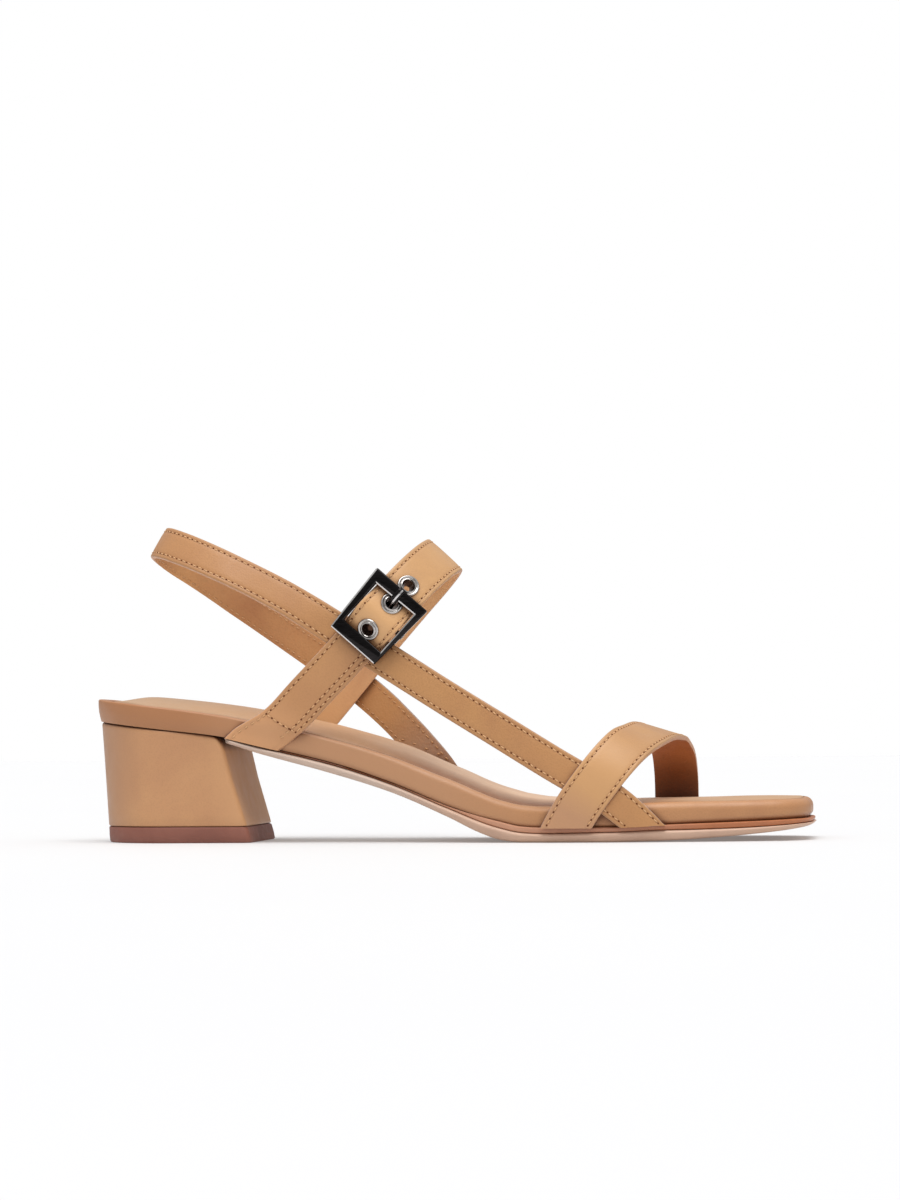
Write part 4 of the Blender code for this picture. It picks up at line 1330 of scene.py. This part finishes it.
# Roughness, grain and grain depth of the dressed side of the leather, and of its lining
DRESSED = (0.44, 1500.0, 0.00008)
LINED = (0.52, 1100.0, 0.00014)
STRAP_SHINE = {"Specular_IOR_Level": 0.40, "Coat_Weight": 0.04, "Coat_Roughness": 0.35}
WRAP_SHINE = {**STRAP_SHINE, "Coat_Weight": 0.05}
EDGE_SHADE = rgb(192, 146, 106)
TOE_END, SLING_END, INSTEP_END = (
    STRAPS[strap].sample_lengths[-1] for strap in ("toe", "sling", "instep"))
# Tones of the linings along their straps: colour, length where it starts and where it is full
LINING_ENDS = {
    # Painted shade on the toe strap's lining towards its inner foot
    "toe": ((rgb(80, 40, 20), TOE_END - 0.034, TOE_END - 0.010),),
    # Sling: painted light on its lining's inner face over the arch, then a greyer tone at its end
    "sling": ((rgb(206, 156, 104), SLING_END - 0.078, SLING_END - 0.052),
              (rgb(188, 150, 122), SLING_END - 0.036, SLING_END - 0.016)),
    # Instep: painted light on its lining towards its inner foot
    "instep": ((rgb(230, 183, 131), INSTEP_END - 0.052, INSTEP_END - 0.024),),
}
# The same for the outer faces
FACE_ENDS = {
    # Toe strap: a painted sheen over its outer side, then darker towards its foot
    "toe": ((rgb(204, 155, 106), 0.044, 0.028), (rgb(190, 143, 106), 0.020, 0.010)),
    # Instep strap: painted light on the part inside the buckle frame, which the frame shades
    "instep": ((rgb(216, 167, 116), 0.034, 0.020),),
    "quarter": ((rgb(203, 150, 106), 0.036, 0.022),),
}
STRAP_FACES = {}
STRAP_LININGS = {}
for strap in STRAPS:
    tone = FACE_TONES[strap]
    STRAP_FACES[strap] = leather(
        f"tan_leather_{strap}", toned(TAN_LIGHT, tone), toned(TAN_DARK, tone), *DRESSED,
        edge_shade=toned(EDGE_SHADE, tone), ends=FACE_ENDS.get(strap, ()), **STRAP_SHINE)
    tone = LINING_TONES[strap]
    STRAP_LININGS[strap] = leather(
        f"lining_leather_{strap}", toned(LINING_LIGHT, tone), toned(LINING_DARK, tone), *LINED,
        ends=LINING_ENDS.get(strap, ()))
TAN = STRAP_FACES["quarter"]
WRAP = leather("tan_leather_wrap", rgb(185, 134, 91), rgb(173, 122, 84), *DRESSED,
               rear=((rgb(186, 138, 101), 0.000, 0.036), (rgb(172, 119, 80), -0.090, -0.050)),
               **WRAP_SHINE)
# The heel's back is darkened as painted shade where it rounds away; towards the breast it is lighter
HEEL_WRAP = leather("tan_leather_heel", rgb(202, 151, 106), rgb(190, 139, 99), *DRESSED,
                    rear=((rgb(172, 128, 96), -0.123, -0.104), (rgb(212, 160, 113), -0.066, -0.082)),
                    **WRAP_SHINE)
# The sock's edge shade is painted shade on its rolled edge by the rim, and its wide crevice reach spreads
# the painted crevice shade
SOCK = leather("sock_leather_face", rgb(212, 178, 148), rgb(194, 158, 128), 0.48, 1300.0, 0.00012,
               rear=((rgb(186, 146, 108), 0.094, 0.056), (rgb(197, 155, 117), -0.050, -0.006),
                     (rgb(181, 147, 115), -0.106, -0.056)),
               edge_shade=rgb(142, 96, 64), edge_range=(0.55, 1.0, 0.9), crevice_reach=0.007)
THREAD = thread_finish()
HOLE = hole_finish()
GREY_CUT = edge_finish("grey_cut_edge", rgb(196, 172, 160), rgb(164, 140, 130))
PALE_CUT = edge_finish("pale_cut_edge", rgb(214, 172, 140), rgb(186, 142, 112))
WELT = rubber_finish("welt_edge_stain", rgb(182, 113, 71), rgb(164, 98, 61), 0.42, 900.0, 0.00008,
                     rear=((rgb(174, 120, 92), 0.062, 0.090), (rgb(198, 146, 116), 0.024, 0.040),
                           (rgb(124, 72, 42), -0.022, -0.002)))
BEIGE = rubber_finish("beige_sole", rgb(208, 173, 149), rgb(192, 157, 135), 0.45, 1200.0, 0.00010,
                      rear=((rgb(206, 182, 165), -0.024, 0.004),))
LIFT = rubber_finish("red_brown_rubber", rgb(146, 92, 76), rgb(128, 78, 64), 0.58, 1600.0, 0.00012)
BLACK_NICKEL = plated_finish("black_nickel",
                             (0.030, 0.027, 0.027, 1.0), (0.018, 0.016, 0.016, 1.0), 0.07)
# Bright nickel, used only as painted highlights on the frame's edges and the prong
HIGHLIGHT_NICKEL = plated_finish("painted_highlight_nickel",
                              (0.72, 0.70, 0.69, 1.0), (0.54, 0.52, 0.51, 1.0), 0.12)
EYELET_METAL = plated_finish("eyelet_nickel",
                             (0.55, 0.52, 0.50, 1.0), (0.40, 0.375, 0.355, 1.0), 0.08)
# Dark plating inside the eyelets' barrels, as painted shade in the holes
EYELET_PAINTED_SHADE = plated_finish("eyelet_inside_painted_shade",
                              (0.20, 0.15, 0.13, 1.0), (0.13, 0.095, 0.085, 1.0), 0.3)


# Straps of the upper


def make_straps():
    for name in STRAPS:
        finishes = (STRAP_FACES[name], STRAP_LININGS[name], GREY_CUT, PALE_CUT)
        piece = add_piece(f"{name}_strap", strap_mesh(name), finishes, "tan_leather", "upper")
        if name == "instep":
            punch_eyelet_holes(piece)
        threads = bmesh.new()
        for row in rows_as_dicts(STITCH_COLUMNS, STITCH_ROWS):
            if row["strap"] == name:
                edge_stitches(threads, name, row["margin"], row["edge"], row["face"])
        if name == "quarter":
            cross_stitches(threads, name, quarter_row_length, 1)
            for row in rows_as_dicts(FOOT_STITCH_COLUMNS, FOOT_STITCHES):
                foot_stitches(threads, **row)
        if name == "sling":
            cross_stitches(threads, name, sling_row_length, -1)
        add_piece(f"{name}_stitches", threads, (THREAD, HOLE), "tan_leather")


def eyelet_seat(slide):
    """Point and outward direction where an eyelet sits on the instep strap."""
    path = STRAPS["instep"]
    slides = [row["slide"] for row in rows_as_dicts(PLANE_COLUMNS, INSTEP_PATH)]
    target = in_strap_plane(0.0, slide, 0.0)
    up = (in_strap_plane(0.0, 1.0, 0.0) - in_strap_plane(0.0, 0.0, 0.0)).normalized()

    def below(row):
        return (path.spot(row, 0.0) - target).dot(up) < 0.0

    row = last_holding(below, 0.0, slides.index(max(slides)))
    return path.spot(row, EYELET_ACROSS), path.frame(row)[3]


def eyelet_matrix(spot, outward):
    return Matrix.Translation(spot) @ outward.to_track_quat("Z", "X").to_matrix().to_4x4()


def punch_eyelet_holes(piece):
    """Cut the eyelets' round holes through the strap."""
    for slide in EYELET_SLIDES:
        mesh = bmesh.new()
        bmesh.ops.create_cone(mesh, cap_ends=True, segments=PUNCH_SIDES, radius1=PUNCH_RADIUS,
                              radius2=PUNCH_RADIUS, depth=PUNCH_LENGTH,
                              matrix=eyelet_matrix(*eyelet_seat(slide)))
        punch = add_object("punch", mesh_data("punch", mesh, GREY_CUT))
        cut = piece.modifiers.new("punch", "BOOLEAN")
        cut.operation = "DIFFERENCE"
        cut.solver = "EXACT"
        cut.object = punch
        graph = bpy.context.evaluated_depsgraph_get()
        piece.data = bpy.data.meshes.new_from_object(piece.evaluated_get(graph))
        piece.modifiers.clear()
        bpy.data.objects.remove(punch)
    piece.data.name = piece.name


def make_buckle_loop():
    """Folded end of the quarter strap round the buckle's bar, in two halves beside the prong."""
    half = 0.5 * (LOOP_WIDTH - HUB_WIDTH) / 2.0 - GAP
    part = bmesh.new()
    spin_section(part, ring_section(BAR_RADIUS + GAP, LOOP_RADIUS, half), LOOP_STEPS)
    close_mesh(part)
    rounded(part, sharp_edges(part), LOOP_EDGE, 2)
    pattern = mesh_data("loop_half", part)
    mesh = bmesh.new()
    for side in (-1, 1):
        centre = side * (0.5 * HUB_WIDTH + GAP + half)
        add_copy(mesh, pattern, buckle_matrix(centre, 0.0, BAR_OUT) @ BAR_TURN)
    add_piece("buckle_loop", mesh, (TAN,), "tan_leather", "upper")


# Buckle


# Turns a ring's axis to lie along the buckle's bar
BAR_TURN = Matrix.Rotation(math.pi / 2.0, 4, "Y")


def buckle_matrix(across_strap, slide, out):
    """Placement with x across the strap, y along it and z out from the foot."""
    origin = in_strap_plane(across_strap, slide, out)
    x_axis = (in_strap_plane(across_strap + 1.0, slide, out) - origin).normalized()
    y_axis = (in_strap_plane(across_strap, slide + 1.0, out) - origin).normalized()
    turn = Matrix((x_axis, y_axis, x_axis.cross(y_axis))).transposed()
    return Matrix.Translation(origin) @ turn.to_4x4()


def make_buckle_frame():
    """Cast frame: flat bars with rounded edges, those facing the light given a painted highlight in
    bright nickel, and a centre bar on two lugs.
    """
    mesh = bmesh.new()
    bmesh.ops.create_grid(mesh, x_segments=1, y_segments=1, size=1.0)
    opening = mesh.faces[:]
    bmesh.ops.inset_individual(mesh, faces=opening, thickness=DRAFT_INSET)
    for vert in mesh.verts:
        outer = max(abs(vert.co.x), abs(vert.co.y)) > 1.0 - DRAFT_INSET / 2.0
        corners = FRAME_CORNERS if outer else OPENING_CORNERS
        corner = (1 if vert.co.x > 0.0 else -1, 1 if vert.co.y > 0.0 else -1)
        vert.co = Vector((*corners[corner], 0.0))
    bmesh.ops.delete(mesh, geom=opening, context="FACES_ONLY")
    raised = bmesh.ops.extrude_face_region(mesh, geom=mesh.faces[:], use_keep_orig=True)
    top = [item for item in raised["geom"] if isinstance(item, bmesh.types.BMVert)]
    bmesh.ops.translate(mesh, vec=(0.0, 0.0, BUCKLE_THICKNESS), verts=top)
    bmesh.ops.recalc_face_normals(mesh, faces=mesh.faces)
    # Only the bevels that face the light take the bright nickel, a painted highlight; the rest stay black
    for face in rounded(mesh, sharp_edges(mesh), BUCKLE_EDGE, 3):
        towards_light = face.normal.x + face.normal.y < HIGHLIGHT_EDGE_TURN
        face.material_index = 1 if towards_light and face.normal.z > HIGHLIGHT_EDGE_LIFT else 0
    bmesh.ops.transform(mesh, matrix=buckle_matrix(0.0, 0.0, BUCKLE_BACK), verts=mesh.verts)
    bmesh.ops.create_cone(mesh, cap_ends=True, segments=BAR_SIDES, radius1=BAR_RADIUS, radius2=BAR_RADIUS,
                          depth=2.0 * BAR_HALF_LENGTH, matrix=buckle_matrix(0.0, 0.0, BAR_OUT) @ BAR_TURN)
    for side in (-1, 1):
        seat = buckle_matrix(side * BAR_HALF_LENGTH, 0.0, BAR_OUT + LUG_LIFT)
        lug = bmesh.ops.create_cube(mesh, size=1.0, matrix=seat @ Matrix.Diagonal((*LUG_SIZE, 1.0)))
        edges = dict.fromkeys(edge for vert in lug["verts"] for edge in vert.link_edges)
        rounded(mesh, list(edges), LUG_EDGE, 2)
    add_piece("plated_frame", mesh, (BLACK_NICKEL, HIGHLIGHT_NICKEL), "dark_nickel", "buckle_frame")


def make_prong():
    """Forged prong from its ring on the bar, through the middle eyelet, over the frame's upper bar."""
    rows = rows_as_dicts(PRONG_COLUMNS, PRONG_PATH)
    points = [in_strap_plane(0.0, row["slide"], row["out"]) for row in rows]
    wide = buckle_matrix(0.0, 0.0, 0.0).to_3x3().col[0]
    path = StrapPath(points, [0.0] * len(points), lambda direction, angle: wide, PRONG_WIDTH)
    length = path.sample_lengths[-1]

    def squared(part):
        return math.copysign(abs(part) ** PRONG_SQUARENESS, part)

    def spot(i, j):
        turn = 2.0 * math.pi * (j % PRONG_SIDES) / PRONG_SIDES
        lead = i / PRONG_STEPS
        tip = max(0.0, (lead - PRONG_TIP_START) / PRONG_TIP_LENGTH)
        thin = math.sqrt(max(0.0, 1.0 - tip * tip))
        taper = 1.0 - PRONG_TAPER * lead
        return path.spot(path.row_at(length * lead),
                         0.5 * PRONG_WIDTH * taper * thin * squared(math.cos(turn)),
                         0.5 * PRONG_THICKNESS * taper * thin * squared(math.sin(turn)))

    mesh = bmesh.new()
    # One side takes the bright nickel as a painted highlight line
    laid_grid(mesh, PRONG_STEPS, PRONG_SIDES, spot, lambda j: 1 if j in PRONG_HIGHLIGHT_SIDES else 0)
    close_mesh(mesh)
    fill_ends(mesh)
    prong = set(mesh.verts)
    spin_section(mesh, ring_section(BAR_RADIUS + HUB_PLAY, HUB_RADIUS, HUB_WIDTH / 2.0), HUB_STEPS)
    hub = [vert for vert in mesh.verts if vert not in prong]
    bmesh.ops.transform(mesh, matrix=buckle_matrix(0.0, 0.0, BAR_OUT) @ BAR_TURN, verts=hub)
    close_mesh(mesh)
    add_piece("plated_prong", mesh, (BLACK_NICKEL, HIGHLIGHT_NICKEL), "dark_nickel", "buckle_prong")


def make_eyelets():
    """Turned eyelets with a rolled flange, through the strap, with painted shade inside their barrels."""
    for number, slide in enumerate(EYELET_SLIDES, 1):
        mesh = bmesh.new()
        spin_section(mesh, EYELET_SECTION, EYELET_STEPS)
        close_mesh(mesh)
        # Faces inside the hole take the dark painted shade
        for face in mesh.faces:
            inside = face.calc_center_median().xy.length < EYELET_HOLE_RADIUS
            face.material_index = 1 if inside else 0
        lift = Matrix.Translation((0.0, 0.0, STRAP_THICKNESS / 2.0 + STRAP_DOME))
        seat = eyelet_matrix(*eyelet_seat(slide))
        bmesh.ops.transform(mesh, matrix=seat @ lift, verts=mesh.verts)
        add_piece(f"eyelet_ring_{number}", mesh, (EYELET_METAL, EYELET_PAINTED_SHADE), "dark_nickel",
                  f"eyelet_{number}")


# Footbed, sock and sole


def rim_arc(steps):
    """Rings over the rounded rim, as inset and height functions of along."""
    rings = []
    for k in range(steps + 1):
        turn = 0.5 * math.pi * k / steps

        def inset(along, turn=turn):
            return wall("rim_round", along) * (1.0 - math.cos(turn))

        def height(along, side, turn=turn):
            return (rim_height(along, side) + wall("puff", along)
                    - wall("rim_round", along) * (1.0 - math.sin(turn)))
        rings.append((inset, height))
    return rings


def tuck_ring(share):
    """Ring of the wall's lower part, which tucks in towards its foot."""
    def inset(along):
        return wall("tuck", along) * (1.0 - share) ** 2

    def height(along, side):
        return feather_height(along, side) + wall("tuck_height", along) * share
    return inset, height


def puffed_rim(amount):
    """Height a fixed amount over the rim's own top."""
    return lambda along, side: rim_height(along, side) + wall("puff", along) + amount


def make_footbed():
    outline = SoleOutline(0.0, SOLE_FRONT)
    underside = lifted(feather_height, LAYER_GAP)
    tray = lifted(rim_height, -SOCK_DEPTH)

    def foot_inset(along):
        return wall("tuck", along) + FOOTBED_FOOT_ROLL

    profile = [(FOOTBED_UNDER_INSET, underside), (foot_inset, feather_height)]
    profile += [tuck_ring(share) for share in TUCK_SHARES]
    profile += rim_arc(RIM_STEPS)
    profile += [(RIM_WIDTH + past, puffed_rim(over)) for past, over in RIM_INNER_SIDE]
    profile.append((RIM_WIDTH + TRAY_CORNER, tray))
    mesh = sole_body(outline, profile, underside, tray)
    add_piece("footbed_wrap", mesh, (WRAP,), "tan_leather", "footbed")


def sock_top(along, side):
    """Pillowed and slightly uneven top of the padded sock."""
    half = 0.5 * (sole("lateral", along) + sole("medial", along)) - SOCK_INSET
    reach = max(0.0, 1.0 - abs(2.0 * across(along, side) - 1.0) * (half + SOCK_INSET) / half)
    pillow = 1.0 - (1.0 - min(1.0, reach / SOCK_PILLOW)) ** 2
    back = eased((along - SOCK_INSET) / SOCK_BACK_RISE)
    toe = 1.0 - max(0.0, 1.0 - (SHOE_LENGTH - SOCK_INSET - along) / SOCK_TOE_RISE) ** 2
    ripple = SOCK_RIPPLE * uneven(SOCK_RIPPLE_SCALES, along, side, SOCK_LAYER)
    edge = wall("sock_edge", along)
    return rim_height(along, side) + edge + (sole("crown", along) - edge + ripple) * pillow * back * toe


def sock_inset(extra):
    """Inset of the sock's edge, on which the puffed rim closes at the toe."""
    return lambda along: SOCK_INSET + extra - TOE_GROOVE_CLOSING * wall("puff", along)


def make_sock():
    outline = SoleOutline(0.0, SOLE_FRONT)
    low = lifted(rim_height, -SOCK_DEPTH + GAP)
    side = lifted(rim_height, -SOCK_SIDE_DEPTH)
    profile = [(sock_inset(SOCK_FOOT_INSET), low), (sock_inset(0.0), side)]
    profile += [(sock_inset(extra), lifted(sock_top, over)) for extra, over in SOCK_ROLL]
    mesh = sole_body(outline, profile, low, sock_top)
    sock = add_piece("padded_sock", mesh, (SOCK,), "sock_leather", "insole")


def outsole_side(share):
    """Height at a share of the outsole's thickness."""
    def height(along, side):
        low = bottom_height(along, side)
        return low + share * (split_height(along, side) - LAYER_GAP - low)
    return height


def welt_inset(extra):
    return lambda along: extra - WELT_CURVES["reach"].at(along)


def make_sole_edge():
    outline = SoleOutline(breast_along(sole("feather", BREAST_TOP_ALONG)), SOLE_FRONT)
    edge = [(inset, outsole_side(share)) for inset, share in OUTSOLE_SIDE]
    mesh = sole_body(outline, edge, bottom_height, outsole_side(1.0))
    add_piece("pale_outsole", mesh, (BEIGE,), "sole_beige", "outsole")
    strip = [(welt_inset(extra), lifted(split_height, over)) for extra, over in WELT_LOWER_SIDE]
    strip += [(welt_inset(extra), lifted(feather_height, -under)) for extra, under in WELT_UPPER_SIDE]
    mesh = sole_body(outline, strip, split_height, lifted(feather_height, -LAYER_GAP))
    add_piece("welt_strip", mesh, (WELT,), "welt_brown", "welt")


# Heel


def heel_share(height):
    return 1.0 - height / sole("feather", HEEL_MIDDLE_ALONG)


def heel_outline(share, trim, inset=0.0):
    """Outline of the heel at a share of the way from top to floor; trim rounds its front top edge."""
    back = HEEL_BACK[0] + (HEEL_BACK[1] - HEEL_BACK[0]) * share + inset
    half = HEEL_HALF_WIDTH[0] + (HEEL_HALF_WIDTH[1] - HEEL_HALF_WIDTH[0]) * share - inset
    front = breast_along(sole("feather", BREAST_TOP_ALONG) * (1.0 - share)) - trim - inset
    outer = []
    for i in range(HEEL_BACK_POINTS + 1):
        rest = math.cos(0.5 * math.pi * i / HEEL_BACK_POINTS)
        outer.append((back + HEEL_ROUND * (1.0 - rest), -half * bend(rest, HEEL_ROUND_POWER)))
    straight = front - BREAST_CORNER
    bend_end = outer[-1][0]
    for i in range(1, HEEL_SIDE_POINTS):
        outer.append((bend_end + (straight - bend_end) * i / HEEL_SIDE_POINTS, -half))
    for i in range(HEEL_CORNER_POINTS + 1):
        turn = 0.5 * math.pi * i / HEEL_CORNER_POINTS
        outer.append((front - BREAST_CORNER * (1.0 - math.sin(turn)),
                      -half + BREAST_CORNER * (1.0 - math.cos(turn))))
    side = half - BREAST_CORNER
    breast = [(front, -side + 2.0 * side * k / BREAST_POINTS) for k in range(1, BREAST_POINTS)]
    points = outer + breast + [(x, -y) for x, y in outer[:0:-1]]
    middle = back + HEEL_ROUND
    leads = [clamped((x - middle) / (front - middle)) for x, _ in points]
    return [(x - BREAST_SKEW * lead * 0.5 * (1.0 - y / half), y) for lead, (x, y) in zip(leads, points)]


def ring_body(rings):
    """Closed body through rings from below, with filled ends."""
    mesh = bmesh.new()
    count = len(rings[0])
    laid_grid(mesh, count, len(rings) - 1, lambda i, j: rings[j][i % count])
    merge_doubles(mesh)
    fill_ends(mesh)
    close_mesh(mesh)
    return mesh


def level_ring(height, inset):
    return [place(x, y, height) for x, y in heel_outline(heel_share(height), 0.0, inset)]


def slanted_ring(depth, trim, inset):
    """Ring of the heel at a depth under the footbed's wall."""
    share = heel_share(sole("feather", HEEL_MIDDLE_ALONG) - depth)
    return [place(x, y, feather_height(x, y) - HEEL_SEAT_GAP - depth)
            for x, y in heel_outline(share, trim, inset)]


def make_heel():
    low = LIFT_THICKNESS + LAYER_GAP
    rings = [level_ring(low + over, inset) for over, inset in HEEL_FOOT_RINGS]
    base, waist = level_ring(low + HEEL_FOOT_TOP, 0.0), slanted_ring(HEEL_WAIST_DEPTH, 0.0, 0.0)
    for k in range(HEEL_SIDE_STEPS + 1):
        rings.append([near.lerp(far, k / HEEL_SIDE_STEPS) for near, far in zip(base, waist)])
    rings += [slanted_ring(*ring) for ring in HEEL_TOP_RINGS]
    add_piece("wrapped_heel", ring_body(rings), (HEEL_WRAP,), "tan_leather", "heel_block")
    lift = [level_ring(height, inset) for height, inset in LIFT_RINGS]
    add_piece("rubber_lift", ring_body(lift), (LIFT,), "lift_rubber", "top_lift")


# Studio


CAMERA_AZIMUTH = math.radians(6.2)
CAMERA_DISTANCE = 1.5
CAMERA_HEIGHT = 0.042
CAMERA_SHIFT_ALONG = 0.00115
CAMERA_ROLL = -0.0076
CAMERA_NEAR = 0.01
# Focal length, width and how far the horizon lies above the middle, in the photo's pixels
FOCAL_PIXELS = 4347.8
PHOTO_WIDTH = 900.0
HORIZON_PIXELS = 118.0
SENSOR_WIDTH = 36.0
CAMERA_PITCH = math.atan(HORIZON_PIXELS / FOCAL_PIXELS)
CAMERA_LENS = FOCAL_PIXELS / PHOTO_WIDTH * SENSOR_WIDTH
SKY_AT_HORIZON = 0.27
SKY_OVERHEAD = 0.95
TOP_LIGHT = 2.3
TOP_LIGHT_SPREAD = math.radians(50.0)
TOP_LIGHT_FROM = (0.05, -0.30, 1.0)
FLOOR_CELLS = 8
FLOOR_REACH = 3.0


def make_camera():
    data = bpy.data.cameras.new("camera")
    data.sensor_fit = "HORIZONTAL"
    data.sensor_width = SENSOR_WIDTH
    data.lens = CAMERA_LENS
    data.clip_start = CAMERA_NEAR
    camera = add_object("camera", data)
    where = Vector((CAMERA_DISTANCE * math.sin(CAMERA_AZIMUTH) - CAMERA_SHIFT_ALONG,
                    -CAMERA_DISTANCE * math.cos(CAMERA_AZIMUTH), CAMERA_HEIGHT))
    camera.matrix_world = (Matrix.Translation(where) @ Matrix.Rotation(CAMERA_AZIMUTH, 4, "Z")
                           @ Matrix.Rotation(math.pi / 2.0 + CAMERA_PITCH, 4, "X")
                           @ Matrix.Rotation(CAMERA_ROLL, 4, "Z"))
    bpy.context.scene.camera = camera


def make_studio():
    world = bpy.data.worlds.new("white_studio")
    world.use_nodes = True
    tree = world.node_tree
    sky = tree.nodes["Background"]
    sky.inputs["Color"].default_value = WHITE
    direction = tree.nodes.new("ShaderNodeSeparateXYZ")
    tree.links.new(tree.nodes.new("ShaderNodeTexCoord").outputs["Generated"], direction.inputs[0])
    climb = tree.nodes.new("ShaderNodeMapRange")
    climb.inputs["To Min"].default_value = SKY_AT_HORIZON
    climb.inputs["To Max"].default_value = SKY_OVERHEAD
    tree.links.new(direction.outputs["Z"], climb.inputs["Value"])
    tree.links.new(climb.outputs["Result"], sky.inputs["Strength"])
    paper = tree.nodes.new("ShaderNodeBackground")
    paper.inputs["Color"].default_value = WHITE
    seen = tree.nodes.new("ShaderNodeLightPath").outputs["Is Camera Ray"]
    mixed = tree.nodes.new("ShaderNodeMixShader")
    tree.links.new(seen, mixed.inputs[0])
    tree.links.new(sky.outputs[0], mixed.inputs[1])
    tree.links.new(paper.outputs[0], mixed.inputs[2])
    tree.links.new(mixed.outputs[0], tree.nodes["World Output"].inputs["Surface"])
    bpy.context.scene.world = world
    lamp = bpy.data.lights.new("top_light", "SUN")
    lamp.energy = TOP_LIGHT
    lamp.angle = TOP_LIGHT_SPREAD
    top = add_object("top_light", lamp)
    top.rotation_euler = (-Vector(TOP_LIGHT_FROM)).to_track_quat("-Z", "Y").to_euler()
    mesh = bmesh.new()
    bmesh.ops.create_grid(mesh, x_segments=FLOOR_CELLS, y_segments=FLOOR_CELLS, size=FLOOR_REACH)
    floor = add_object("studio_floor", mesh_data("studio_floor", mesh, floor_finish()))
    bpy.context.scene.view_settings.view_transform = "Standard"


make_camera()
make_studio()
make_straps()
make_buckle_loop()
make_buckle_frame()
make_prong()
make_eyelets()
make_footbed()
make_sock()
make_sole_edge()
make_heel()
